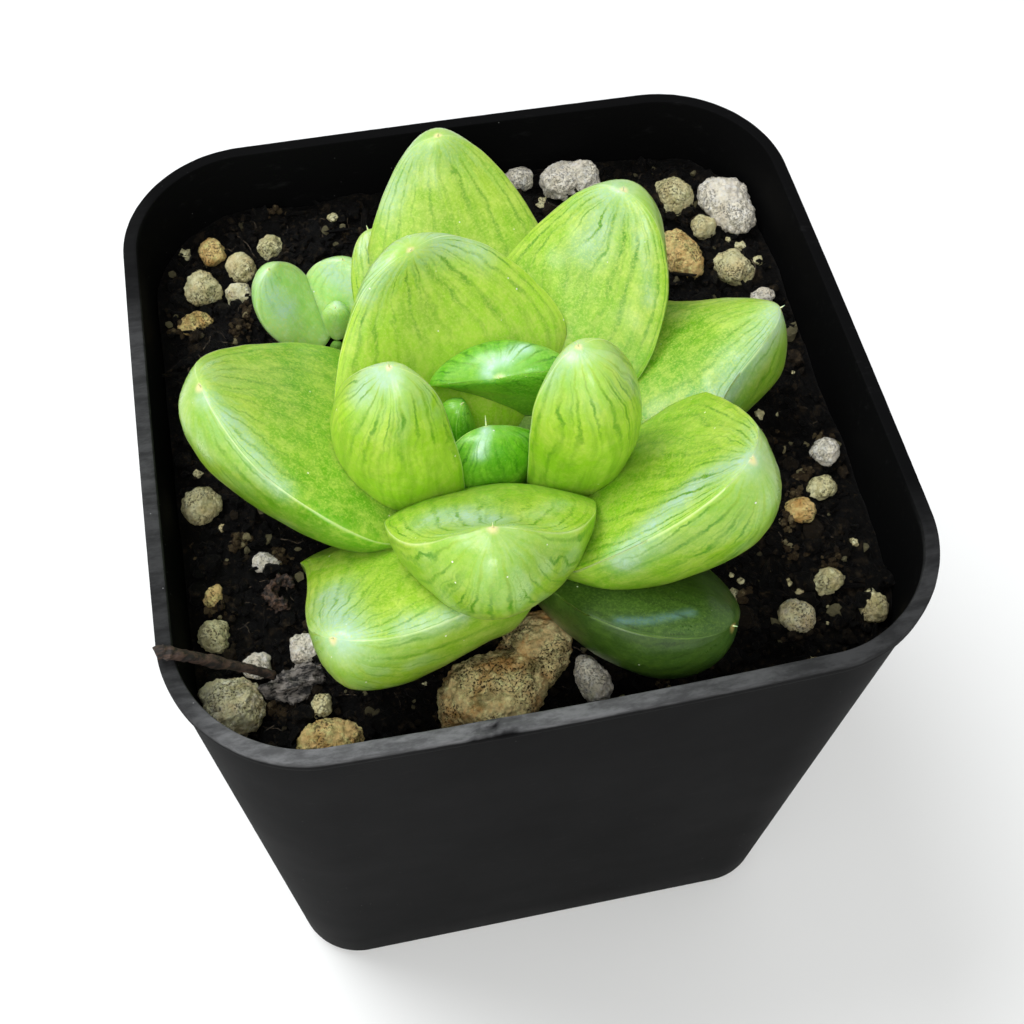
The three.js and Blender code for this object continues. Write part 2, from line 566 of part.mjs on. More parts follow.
// Loose things on the mix, each clear of the leaves and of what was laid before it
const basin = basinBody();
const looseRooms = [];
const looseSolids = [];
function lay(name, body, room, colour, roughness) {
  looseSolids.push([name, cut(body, [...leafRooms, stemRoom, ...looseRooms]), colour, roughness]);
  looseRooms.push(room);
}
lay('twig', twigBody(0), twigBody(GAP), COLOURS.twig, 0.85);
lay('bark_piece', barkBody(0), barkBody(GAP), COLOURS.bark, 0.95);
lay('dry_scrap', scrapBody(0), scrapBody(GAP), COLOURS.scrap, 0.8);
STONES.forEach((stone, i) => {
  const seed = 101 + i;
  const body = placedStone(stone, seed, 0).intersect(basin);
  lay(stone.name, body, placedStone(stone, seed, GAP), COLOURS[stone.tone], 0.9);
});

addPiece('pot', potGeometry(), COLOURS.pot, 0.55);
addPiece('soil', geometryOf(cut(soilBody(), [stemRoom, ...leafRooms, ...looseRooms])), COLOURS.soil, 0.95);
addPiece('stem_and_roots', geometryOf(stemBody(0)), COLOURS.stem, 0.7);
for (const [name, solid] of leafSolids) {
  const colour = name.includes('heart') ? COLOURS.heart : COLOURS.leaf;
  addPiece(name, geometryOf(solid), name === 'leaf_front_low' ? COLOURS.shaded : colour, 0.35);
}
for (const [name, solid, colour, roughness] of looseSolids) {
  addPiece(name, geometryOf(solid), colour, roughness);
}

export default group;
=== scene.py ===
import math
import random
from dataclasses import dataclass

import bpy
import numpy as np
from bpy.props import FloatProperty, FloatVectorProperty, IntProperty, PointerProperty
from mathutils import Matrix, Vector, noise


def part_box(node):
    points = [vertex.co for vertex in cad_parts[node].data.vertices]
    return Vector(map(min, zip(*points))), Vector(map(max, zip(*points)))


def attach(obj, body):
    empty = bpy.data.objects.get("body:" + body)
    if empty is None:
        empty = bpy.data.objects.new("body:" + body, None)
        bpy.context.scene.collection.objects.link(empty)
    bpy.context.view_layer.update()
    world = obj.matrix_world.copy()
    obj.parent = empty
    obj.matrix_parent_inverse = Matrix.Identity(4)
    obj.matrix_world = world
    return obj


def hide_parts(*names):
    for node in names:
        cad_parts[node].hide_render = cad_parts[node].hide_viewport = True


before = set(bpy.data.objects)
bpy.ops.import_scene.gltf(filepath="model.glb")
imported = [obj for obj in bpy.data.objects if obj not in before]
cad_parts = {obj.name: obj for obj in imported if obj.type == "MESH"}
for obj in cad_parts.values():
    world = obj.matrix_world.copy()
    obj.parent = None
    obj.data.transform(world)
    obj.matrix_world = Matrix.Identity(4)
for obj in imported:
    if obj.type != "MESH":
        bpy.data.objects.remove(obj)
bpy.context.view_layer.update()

bl_info = {
    "name": "Potted haworthia",
    "version": (1, 0, 0),
    "blender": (4, 5, 0),
    "location": "View3D > Sidebar > Haworthia",
    "description": "A rosette of thick windowed leaves with one offset, in a square nursery pot",
    "category": "Object",
}

MM = 0.001
TAU = 2 * math.pi


def srgb(red, green, blue):
    """A colour given in 0 to 255 as it looks, turned to linear light."""
    def linear(value):
        value /= 255
        return value / 12.92 if value <= 0.04045 else ((value + 0.055) / 1.055) ** 2.4
    return (linear(red), linear(green), linear(blue))


def amount(name, description, default, unit):
    return FloatProperty(name=name, description=description, default=default, unit=unit)


def length(name, description, default):
    return FloatProperty(name=name, description=description, default=default, min=0.0, unit="LENGTH",
                         precision=5)


def number(name, description, default, least):
    return IntProperty(name=name, description=description, default=default, min=least)


def colour(name, part, default):
    return FloatVectorProperty(name=name, description="Colour of " + part, default=default, size=3,
                               min=0.0, max=1.0, subtype="COLOR")


class PotSizes(bpy.types.PropertyGroup):
    height: length("Height", "Height of the pot", 0.080)
    rim_half: length("Rim half-width", "From the middle of the pot to the outside of its rim", 0.035)
    rim_corner: length("Rim corner radius", "Radius of the rim's corners", 0.0125)
    base_half: length("Base half-width", "From the middle of the pot to its outside at the bottom", 0.0315)
    base_corner: length("Base corner radius", "Radius of the corners at the bottom", 0.008)
    wall: length("Wall", "Thickness of the pot's wall", 0.0011)
    floor: length("Floor", "Thickness of the pot's floor", 0.0016)
    bead_height: length("Bead height", "Height of the thicker band under the rim", 0.0018)
    bead_proud: length("Bead step", "How far the band stands proud of the wall", 0.00035)
    foot_rounding: length("Foot rounding", "Rounding of the edge that the pot stands on", 0.0012)
    front_bow: length("Front bow", "How far the rim's front side bows out", 0.0008)
    side_bow: length("Side bow", "How far the rim's other sides bow out", 0.00025)
    drain_diameter: length("Drain hole", "Diameter of each drain hole", 0.008)
    drain_offset: length("Drain hole place", "From the middle to each drain hole, each way", 0.017)
    outline_points: number("Outline points", "Points round the pot", 720, 80)
    plastic: colour("Plastic", "the pot", (0.0036, 0.0036, 0.0038))
    # scuffs, and the painted highlight on the rim's upper face
    rim_scuff_and_highlight: colour("Rim scuffs and highlight", "the scuffed upper face of the rim", (0.16, 0.161, 0.165))


class LeafLooks(bpy.types.PropertyGroup):
    sides: number("Sides", "Faces round each leaf", 96, 16)
    rings: number("Rings", "Faces along each leaf", 72, 16)
    vein_count: number("Veins", "Veins round a big leaf", 26, 6)
    furrow: length("Furrow", "Depth of the furrow over each vein", 0.00003)
    swell: length("Swell", "Height of the leaf's soft unevenness", 0.0002)
    flesh: colour("Flesh", "a leaf's middle", srgb(150, 196, 32))
    pale: colour("Pale flesh", "the paler clouds in a leaf", srgb(208, 224, 104))
    root: colour("Root end", "a leaf's lower end", srgb(122, 186, 20))
    vein: colour("Vein", "the veins", srgb(86, 150, 10))
    network: colour("Network", "the lines between the windows", srgb(206, 222, 104))
    window: colour("Window", "the clear windows near the tip", srgb(184, 216, 170))
    window_deep: colour("Deep window", "the darker windows", srgb(148, 198, 104))
    margin: colour("Margin", "the thin pale edge", srgb(222, 240, 170))
    # partly clear skin, partly a painted highlight of the light glinting on the leaves' ridges
    glow: colour("Clear skin glint", "the bands where clear skin shows light", srgb(180, 212, 200))
    tip: colour("Tip", "the spot at the very tip", srgb(238, 222, 170))
    heart_flesh: colour("Heart flesh", "the young leaves", srgb(100, 180, 20))
    # painted shade: the lowest front leaf is coloured darker for the shade of the leaves over it
    shaded_flesh: colour("Shaded flesh", "the lowest front leaf", srgb(48, 78, 20))


class MixLooks(bpy.types.PropertyGroup):
    level: length("Mix level", "Height of the mix under the plant", 0.0712)
    ripple: length("Ripple", "Height of the mix's ripple", 0.00035)
    clumps: length("Clumps", "Height of the clumps on the mix", 0.0014)
    crumbs: number("Crumbs", "Loose crumbs on the mix", 4600, 0)
    fibres: number("Fibres", "Peat fibres on the mix", 260, 0)
    grit: number("Grit", "Small pale grains on the mix", 90, 0)
    peat: colour("Peat", "the dark mix", srgb(9, 8, 8))
    peat_light: colour("Peat, dry", "the drier bits of the mix", srgb(96, 80, 58))
    fibre: colour("Fibre", "the fibres", srgb(104, 90, 72))
    ochre: colour("Ochre pumice", "the yellow-brown stones", srgb(232, 198, 132))
    olive: colour("Olive pumice", "the grey-green stones", srgb(224, 216, 164))
    cream: colour("Cream pumice", "the pale stones", srgb(250, 242, 222))
    stain: colour("Stain", "the stones' stains", srgb(188, 130, 58))
    moss: colour("Moss", "the greenish film on the stones", srgb(132, 134, 72))
    twig: colour("Twig", "the dry twig", srgb(72, 54, 44))
    bark: colour("Bark", "the bark", srgb(120, 114, 108))
    scrap: colour("Dry scrap", "the dry scrap", srgb(86, 64, 50))


class StageLooks(bpy.types.PropertyGroup):
    floor: colour("Floor", "the floor", (0.93, 0.93, 0.92))
    key: amount("Key light", "Power of the light overhead", 3.5, "POWER")
    fill: amount("Fill light", "Power of the light in front", 2.2, "POWER")
    front: amount("Front light", "Power of the high light in front", 2.1, "POWER")
    sky: amount("Surroundings", "Strength of the light from all round", 0.5, "NONE")
    lens: amount("Lens", "Focal length on a 36 mm wide frame", 48.26, "CAMERA")


# The shapes below are given in millimetres, as the plant is measured

CROWN = (-3.0, -6.0)
OFFSET_CROWN = (-15.3, 12.7)
CURL_FROM = 0.7        # share of a leaf's length from which its end curls
MIDRIB_STEPS = 240
SMALL_LEAF = 13.0      # shorter leaves have fewer faces
BRISTLE_STEPS = 6
TWIG_STEPS = 60
FIBRE_STEPS = 9
MIX_OUTLINE = 480      # points round the mix
MIX_ROWS = 104         # rings from the wall to the crown
MIX_GAP = 0.0003       # metres between the mix and the wall
MIX_CORNER = 11.0
GRAIN_SHAPES = 6       # different shapes among the loose grains


@dataclass
class Leaf:
    """One leaf, in millimetres and degrees, as it grows from its crown."""
    name: str
    heading: float   # which way it points, from +X towards +Y
    rise: tuple      # its slope at the root and at the tip
    curl: float      # how much more its end rises
    size: tuple      # length and half width
    top: float       # swelling of the upper face
    belly: float     # depth of the keel
    roll: float      # turn about its own length
    sweep: float     # turn of the tip away from the heading
    fullest: float   # share of the length where it is widest
    point: float     # low is pointed, high is blunt
    out: float       # from the crown's middle to the root
    up: float        # height of the root
    aside: float = 0.0
    crown: tuple = CROWN
    slot: str = "leaf"
    skin: str = "bright"
    bristle: float = 0.5

    def midrib(self):
        t = np.linspace(0, 1, MIDRIB_STEPS + 1)
        curl = self.curl * np.clip((t - CURL_FROM) / (1 - CURL_FROM), 0, 1) ** 2
        rise = np.radians(self.rise[0] + (self.rise[1] - self.rise[0]) * t + curl)
        turn = np.radians(self.heading + self.sweep * t ** 1.5)
        along = np.stack([np.cos(rise) * np.cos(turn), np.cos(rise) * np.sin(turn), np.sin(rise)], 1)
        side = np.stack([-np.sin(turn), np.cos(turn), np.zeros_like(t)], 1)
        a = math.radians(self.heading)
        root = np.array([self.crown[0] + self.out * math.cos(a) - self.aside * math.sin(a),
                         self.crown[1] + self.out * math.sin(a) + self.aside * math.cos(a), self.up])
        steps = (along[1:] + along[:-1]) / 2 * self.size[0] / MIDRIB_STEPS
        place = root + np.vstack([np.zeros(3), np.cumsum(steps, 0)])
        return t, place, along, side

    def surface(self, t, around):
        """Points on the leaf, t along it from root to tip and around it as an angle."""
        grid, *lines = self.midrib()
        place, along, side = (
            np.stack([np.interp(t, grid, line[:, k]) for k in range(3)], 1) for line in lines)
        upward = np.cross(along, side)
        roll = math.radians(self.roll)
        across = side * math.cos(roll) + upward * math.sin(roll)
        above = upward * math.cos(roll) - side * math.sin(roll)
        wide = width_share(t, self.fullest, 0.45, self.point, 1 / 1.9)
        deep = width_share(t, min(self.fullest + 0.06, 0.8), 0.7, 2.8, 0.5)
        s = np.sin(around)
        lift = np.where(s > 0, self.top * np.abs(s) ** 1.7, -self.belly * np.abs(s) ** 1.15)
        x = self.size[1] * wide * np.cos(around)
        return place + across * x[:, None] + above * (deep * lift)[:, None]


def width_share(t, fullest, root, point, closing):
    """Share of the full width along a leaf: it widens from the root's share, then closes to the tip."""
    rising = root + (1 - root) * np.sin(np.clip(t / fullest, 0, 1) * math.pi / 2)
    past = np.clip((t - fullest) / (1 - fullest), 0, 1)
    return np.where(t < fullest, rising, np.clip(1 - past ** point, 0, 1) ** closing)


LEAVES = [
    Leaf("leaf_right_inner", -27.5, (68.5, 102), -5, (23.4, 5.5), 2.2, 5.7, -34.5, -8, 0.59, 2.1, 5.6, 73.1,
         aside=-0.2, skin="inner"),
    Leaf("leaf_left_inner", 191, (62.5, 106.5), -37, (22.9, 6.7), 2.0, 5.5, 30, 25, 0.42, 1.6, 5.5, 72.7,
         skin="inner", bristle=0.8),
    Leaf("leaf_front_middle", -100, (64.5, 32.5), 65, (25.2, 9.2), 1.9, 8.0, 4.5, -1, 0.51, 2.0, 3.7, 72.8),
    Leaf("leaf_heart_front", -95.5, (82, 98.5), 20, (11.1, 5.3), 0.8, 3.2, 14.5, 2, 0.53, 2.2, 2.5, 73.1,
         aside=-0.4, slot="leaf_heart", skin="heart", bristle=1.0),
    Leaf("leaf_heart_back", 47.5, (99.5, 121.5), 5, (11.5, 7.0), 0.7, 3.7, 19.5, 18, 0.71, 2.2, 5.5, 76.3,
         aside=0.4, slot="leaf_heart", skin="heart"),
    Leaf("leaf_heart_bud", 159, (64, 90), 18, (7.8, 2.1), 1.0, 2.1, 0, 0, 0.58, 2.3, 1.0, 76.3,
         slot="leaf_heart", skin="heart"),
    Leaf("leaf_right_front", -44.5, (53, 45), 13, (28.9, 11.4), 0.6, 8.9, -2, 3, 0.54, 1.0, 5.9, 72.3,
         aside=0.9),
    Leaf("leaf_left_big", 166, (32, 32), 32, (27.4, 12.9), 2.0, 8.2, 14.5, 14, 0.39, 1.7, 3.1, 72.8,
         aside=0.3, skin="low"),
    Leaf("leaf_back_middle", 103.5, (54.5, 46.5), 66, (21.1, 12.0), 2.1, 4.2, -6, 22, 0.41, 1.3, 2.4, 74.8,
         aside=0.2, skin="inner"),
    Leaf("leaf_back_right", 47, (25, 36), 50, (27.8, 9.2), 2.0, 7.2, -4.5, 2, 0.5, 1.7, 3.2, 73.7,
         aside=0.2, bristle=0.8),
    Leaf("leaf_right_low", 17.5, (21, 26.5), -2, (28.1, 9.2), 1.7, 8.6, -19, -17, 0.67, 0.6, 4.9, 72.6,
         skin="low"),
    Leaf("leaf_left_front", -128, (34.5, 15.5), 31, (24.5, 12.4), 2.0, 7.9, 26, -10, 0.5, 0.7, 5.0, 72.2,
         aside=0.5, skin="faint"),
    Leaf("leaf_back", 86, (16, 31.5), 62, (31.6, 9.7), 2.0, 5.0, -1.5, 8, 0.57, 1.2, 4.3, 73.1,
         skin="faint"),
    Leaf("leaf_back_left", 104, (17, 25), 6, (25.0, 5.1), 1.4, 5.0, -2.5, 3, 0.51, 2.1, 4.0, 71.6,
         aside=0.3),
    Leaf("leaf_front_low", -64, (18, 11), 11, (26.5, 8.7), 2.0, 7.1, -30, 22, 0.63, 1.5, 4.0, 73.6,
         aside=0.5, slot="leaf_shaded", skin="shaded"),
    Leaf("offset_leaf_heart", 75, (62, 86), 30, (4.2, 1.5), 0.8, 1.3, 0, 0, 0.57, 2.3, 0.6, 72.6,
         crown=OFFSET_CROWN, slot="leaf_heart", skin="offset", bristle=0.2),
    Leaf("offset_leaf_left", 141, (38, 66), 30, (10.7, 4.0), 1.0, 2.2, 3, -6, 0.57, 1.9, 1.3, 71.6,
         crown=OFFSET_CROWN, skin="offset", bristle=0.3),
    Leaf("offset_leaf_right", 74, (34, 55), 28, (8.5, 4.2), 1.0, 2.2, -3, -4, 0.57, 2.4, 1.0, 72.0,
         crown=OFFSET_CROWN, skin="offset", bristle=0.3),
]

# Pale bands, partly clear skin and partly a painted highlight where light glints on the ridges: points as
# shares (around, along), then half width in millimetres and strength
CLEAR_SKIN_GLINTS = {
    "leaf_back": [([(0.07, 0.59), (0.08, 0.7), (0.05, 0.83)], 1.8, 0.5)],
    "leaf_back_middle": [([(0.02, 0.72), (0.94, 0.83)], 1.2, 0.55), ([(0.44, 0.8), (0.42, 0.59)], 1.6, 0.6)],
    "leaf_back_right": [([(0.14, 0.91), (0.23, 0.71), (0.24, 0.55)], 1.8, 0.6),
                        ([(0.35, 0.66), (0.4, 0.47)], 0.8, 0.35)],
    "leaf_right_low": [([(0.41, 0.88), (0.46, 0.67), (0.49, 0.5)], 1.7, 0.75)],
    "leaf_right_front": [([(0.25, 0.9), (0.3, 0.64), (0.38, 0.56), (0.52, 0.47)], 1.5, 0.9)],
    "leaf_front_middle": [([(0.35, 0.52), (0.3, 0.55), (0.25, 0.68)], 1.8, 0.8),
                          ([(0.13, 0.45), (0.17, 0.6)], 0.9, 0.3)],
    "leaf_left_front": [([(0.34, 0.57), (0.29, 0.73), (0.14, 0.9)], 1.8, 0.95),
                        ([(0.08, 0.64), (0.03, 0.5)], 1.1, 0.65)],
    "leaf_left_big": [([(0.12, 0.79), (0.07, 0.63), (1.0, 0.53)], 1.1, 0.65),
                      ([(0.95, 0.95), (0.1, 0.9)], 0.9, 0.6)],
    "leaf_left_inner": [([(0.61, 0.76), (0.54, 0.88), (0.8, 0.95)], 1.5, 0.75)],
    "leaf_right_inner": [([(0.51, 0.74), (0.51, 0.85), (0.59, 0.96)], 1.2, 0.5)],
    "leaf_heart_back": [([(0.88, 0.93), (0.7, 0.88), (0.66, 0.75)], 0.7, 0.85)],
    "leaf_heart_front": [([(0.7, 0.93), (0.68, 0.8), (0.68, 0.71)], 0.55, 0.9)],
    "leaf_front_low": [([(0.44, 0.53), (0.39, 0.61), (0.33, 0.7)], 0.4, 0.75)],
    "offset_leaf_left": [([(0.16, 0.73), (0.19, 0.4)], 1.3, 0.9)],
    "offset_leaf_right": [([(0.19, 0.67), (0.27, 0.49)], 1.2, 0.8)],
    "offset_leaf_heart": [([(0.7, 0.8), (0.75, 0.4)], 0.6, 0.7)],
}

STONE_TONES = {
    "ochre": "front_pumice front_ochre left_b back_left_a back_left_f back_right_d right_c",
    "olive": "front_lobe front_small left_a left_c back_left_b back_left_c back_left_d back_right_a "
             "back_right_c back_right_e right_b right_d right_f",
    "cream": "front_crumb corner_pumice under_twig by_leaf left_d back_left_e back_a back_b back_right_b "
             "back_right_f right_a right_e",
}
MOSSY_STONES = ["stone_corner_pumice", "stone_back_left_e", "stone_right_e"]
BROWN_STONES = ["stone_front_pumice", "stone_front_lobe"]


# Modelling helpers

def clear_selection():
    if bpy.context.object and bpy.context.object.mode != "OBJECT":
        bpy.ops.object.mode_set(mode="OBJECT")
    bpy.ops.object.select_all(action="DESELECT")


def make_active(piece):
    clear_selection()
    piece.select_set(True)
    bpy.context.view_layer.objects.active = piece


def named(name):
    """The primitive just added, under its own name."""
    piece = bpy.context.object
    piece.name = name
    piece.data.name = name
    return piece


def merged_copy(node, name):
    """A piece of its own from a node's mesh, with its corners merged."""
    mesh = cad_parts[node].data.copy()
    mesh.materials.clear()
    mesh.name = name
    piece = bpy.data.objects.new(name, mesh)
    bpy.context.collection.objects.link(piece)
    make_active(piece)
    bpy.ops.object.mode_set(mode="EDIT")
    bpy.ops.mesh.select_all(action="SELECT")
    bpy.ops.mesh.remove_doubles(threshold=1e-6)
    bpy.ops.object.mode_set(mode="OBJECT")
    return piece


def apply_modifier(piece, kind, **settings):
    make_active(piece)
    modifier = piece.modifiers.new(kind.title(), kind)
    for key, value in settings.items():
        setattr(modifier, key, value)
    bpy.ops.object.modifier_apply(modifier=modifier.name)


def places(mesh):
    flat = np.empty(len(mesh.vertices) * 3)
    mesh.vertices.foreach_get("co", flat)
    return flat.reshape(-1, 3)


def move_to(mesh, points):
    mesh.vertices.foreach_set("co", np.asarray(points, float).ravel())
    mesh.update()


def displace(piece, height):
    """Moves each point along its normal by a height in millimetres."""
    mesh = piece.data
    normals = [vertex.normal.copy() for vertex in mesh.vertices]
    for vertex, normal in zip(mesh.vertices, normals):
        vertex.co += normal * (height(vertex.co / MM) * MM)
    mesh.update()


def new_piece(name, points, faces):
    """A piece from points in metres and faces."""
    mesh = bpy.data.meshes.new(name)
    mesh.from_pydata(points, [], faces)
    mesh.update()
    piece = bpy.data.objects.new(name, mesh)
    bpy.context.collection.objects.link(piece)
    make_active(piece)
    return piece


def remade(node, name, voxel, rounds, height):
    """A finer piece of a node's form, with even small faces, smoothed and then roughened."""
    piece = merged_copy(node, name)
    apply_modifier(piece, "REMESH", mode="VOXEL", voxel_size=voxel * MM)
    apply_modifier(piece, "SMOOTH", iterations=rounds, factor=0.5)
    displace(piece, height)
    make_active(piece)
    bpy.ops.object.shade_smooth()
    return piece


def smooth_faces(piece, angle):
    make_active(piece)
    bpy.ops.object.shade_smooth_by_angle(angle=math.radians(angle))


def finish_piece(piece, material, slot, *nodes):
    piece.data.materials.clear()
    piece.data.materials.append(material)
    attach(piece, "root")
    if nodes:
        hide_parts(*nodes)


# Material helpers

class Wire:
    """A value that runs from one node to others. Sums and products of wires add nodes."""

    def __init__(self, nodes, socket):
        self.nodes = nodes
        self.socket = socket

    def __add__(self, other):
        return self.nodes.math("ADD", self, other)

    def __sub__(self, other):
        return self.nodes.math("SUBTRACT", self, other)

    def __rsub__(self, other):
        return self.nodes.math("SUBTRACT", other, self)

    def __mul__(self, other):
        return self.nodes.math("MULTIPLY", self, other)


class Nodes:
    """Short words for the nodes of one material or group."""

    def __init__(self, tree):
        self.tree = tree

    def put(self, socket, value):
        if isinstance(value, Wire):
            self.tree.links.new(value.socket, socket)
        elif socket.type == "RGBA":
            socket.default_value = (*value, 1.0)
        else:
            socket.default_value = value

    def fill(self, node, **values):
        """Values for a node's inputs by their names, with _ for each space."""
        for key, value in values.items():
            self.put(node.inputs[key.replace("_", " ")], value)

    def add(self, kind, inputs=(), **settings):
        """A node with its settings and with values for some inputs."""
        node = self.tree.nodes.new(kind)
        for key, value in settings.items():
            setattr(node, key, value)
        for key, value in dict(inputs).items():
            self.put(node.inputs[key], value)
        return node

    def make(self, kind, inputs=(), output=0, **settings):
        """The wire that comes out of a new node."""
        return Wire(self, self.add(kind, inputs, **settings).outputs[output])

    def math(self, operation, a, b=0.0):
        return self.make("ShaderNodeMath", {0: a, 1: b}, operation=operation)

    def mix(self, share, a, b):
        return self.make("ShaderNodeMix", {"Factor": share, 6: a, 7: b}, 2, data_type="RGBA")

    def layers(self, colour, *over):
        """A colour with others laid over it, each by its share."""
        for share, other in over:
            colour = self.mix(share, colour, other)
        return colour

    def step(self, value, low, high, to_low=0.0, to_high=1.0):
        """Goes softly from to_low to to_high while the value goes from low to high."""
        inputs = enumerate((value, low, high, to_low, to_high))
        return self.make("ShaderNodeMapRange", inputs, interpolation_type="SMOOTHSTEP")

    def noise(self, vector, scale, detail=2.0, roughness=0.5):
        inputs = {"Vector": vector, "Scale": scale, "Detail": detail, "Roughness": roughness}
        return self.make("ShaderNodeTexNoise", inputs, "Fac")

    def cells(self, vector, scale=1.0, feature="F1", output="Distance"):
        return self.make("ShaderNodeTexVoronoi", {"Vector": vector, "Scale": scale}, output, feature=feature)

    def random(self, value, salt):
        """A number from 0 to 1 that belongs to each value."""
        return self.make("ShaderNodeTexWhiteNoise", {"W": value + salt}, "Value", noise_dimensions="1D")

    def stretched(self, vector, scale, rotation=(0, 0, 0)):
        return self.make("ShaderNodeMapping", {"Vector": vector, "Rotation": rotation, "Scale": scale})

    def split(self, vector):
        outputs = self.add("ShaderNodeSeparateXYZ", {0: vector}).outputs
        return [Wire(self, output) for output in outputs]

    def flat(self, x, y):
        return self.make("ShaderNodeCombineXYZ", {0: x, 1: y})

    def attribute(self, name):
        return self.make("ShaderNodeAttribute", output="Fac", attribute_name=name)

    def bump(self, height, strength, distance):
        return self.make("ShaderNodeBump", {"Strength": strength, "Distance": distance, "Height": height})

    def use(self, group, **values):
        """The outputs of a node group by name."""
        node = self.add("ShaderNodeGroup", node_tree=bpy.data.node_groups[group])
        self.fill(node, **values)
        return {output.name: Wire(self, output) for output in node.outputs}


def new_material(name):
    """A material with its nodes, its Principled shader and the place on the piece."""
    material = bpy.data.materials.new(name)
    material.use_nodes = True
    nodes = Nodes(material.node_tree)
    shader = material.node_tree.nodes["Principled BSDF"]
    return material, nodes, shader, nodes.make("ShaderNodeTexCoord", output="Object")


def new_group(name, inputs, outputs):
    """A node group with the input Place, further numbers as inputs, and numbers as outputs."""
    tree = bpy.data.node_groups.new(name, "ShaderNodeTree")
    tree.interface.new_socket(name="Place", in_out="INPUT", socket_type="NodeSocketVector")
    for way, keys in (("INPUT", inputs), ("OUTPUT", outputs)):
        for key in keys:
            tree.interface.new_socket(name=key, in_out=way, socket_type="NodeSocketFloat")
    nodes = Nodes(tree)
    given = nodes.add("NodeGroupInput").outputs
    return nodes, [Wire(nodes, given[key]) for key in ("Place", *inputs)], nodes.add("NodeGroupOutput")


def leaf_markings_group():
    """Veins, clear windows, pale margin, tip spot and fine grain of a leaf.

    Around counts the veins round the leaf, and Distance is 0 at the tip and 1 at the root."""
    n, (place, around, distance, turn), marks = new_group(
        "leaf_markings", ("Around", "Distance", "Turn"),
        ("Veins", "Near", "Windows", "Tone", "Margin", "Tip", "Grain", "Clouds", "Streaks", "Sparkle"))
    wavy = around + (n.noise(place, 520.0, 4.0, 0.6) * 1.1 - 0.55)
    number = n.math("FLOOR", wavy)
    off = n.math("ABSOLUTE", wavy - number - 0.5)
    first = n.random(number, 3.7)
    second = n.random(number, 91.3)
    # each vein has its own width, start and end
    half = first * 0.05 + 0.04
    line = n.step(off, half * 0.3, half * 2.6, 1.0, 0.0)
    begins = n.step(distance, second * 0.08 + 0.06, second * 0.14 + 0.18)
    ends = n.step(distance, first * 0.18 + 0.24, second * 0.3 + 0.54, 1.0, 0.25)
    patchy = n.step(n.noise(place, 420.0, 3.0), 0.36, 0.6, 0.3, 1.0)
    main_veins = line * begins * (ends * patchy)
    # thinner veins between them
    tripled = wavy * 3.0
    thin = n.step(n.math("ABSOLUTE", n.math("FRACT", tripled) - 0.5), 0.04, 0.3, 1.0, 0.0)
    shown = n.step(n.random(n.math("FLOOR", tripled), 17.9), 0.4, 0.8)
    reach = n.step(distance, 0.25, 0.62, 1.0, 0.2) * n.step(distance, 0.08, 0.24)
    thin_veins = thin * shown * (reach * 0.4)
    # clear patches parted by a network of lines, near the tip
    grid = n.flat(wavy * 0.75, distance * 6.0)
    cell = n.make("ShaderNodeSeparateColor", {0: n.cells(grid, output="Color")}) * 1000.0
    tone = n.random(cell, 5.1)
    inside = n.step(n.cells(grid, feature="DISTANCE_TO_EDGE"), 0.0, 0.26)
    far = tone * 0.22 + 0.12
    patch = inside * n.step(distance, far, far + 0.2, 1.0, 0.0) * n.step(distance, 0.03, 0.14)
    # soft pale fingers that reach down between the veins
    finger = first * 0.24 + 0.16
    between = n.math("MAXIMUM", n.step(off, 0.04, 0.26, 0.4, 1.0), n.step(distance, 0.06, 0.2, 0.9, 0.0))
    haze = n.step(distance, finger * 0.4, finger + 0.16, 1.0, 0.0) * between
    cloudy = n.step(n.noise(place, 260.0, 3.0), 0.36, 0.58, 0.5, 1.0)
    mottle = n.step(n.noise(place, 1000.0, 4.0, 0.7), 0.46, 0.62)
    clouds = n.step(n.noise(place, 340.0, 5.0, 0.62), 0.36, 0.66)
    streaks = n.step(n.noise(n.flat(around * 1.7, distance * 3.2), 1.0, 4.0, 0.62), 0.44, 0.66)
    dots = n.step(n.cells(place, 560.0), 0.035, 0.06, 1.0, 0.0)
    n.fill(marks,
           Veins=n.math("MAXIMUM", main_veins, thin_veins),
           Near=n.step(distance, 0.12, 0.3, 1.0, 0.0),
           Windows=n.math("MAXIMUM", patch * 0.95, haze * 0.7) * cloudy,
           Tone=tone * 0.5 + n.step(distance, 0.04, 0.24, 0.5, 0.05),
           Margin=n.step(n.math("ABSOLUTE", turn), 0.0, 0.06, 1.0, 0.0),
           Tip=n.step(distance, 0.01, 0.04, 1.0, 0.0),
           Grain=n.step(n.noise(place, 4200.0, 3.0, 0.7), 0.42, 0.74),
           Clouds=clouds * 0.5 + mottle * 0.5,
           Streaks=streaks * n.step(distance, 0.1, 0.3),
           Sparkle=dots * n.step(n.noise(place, 160.0), 0.5, 0.56))


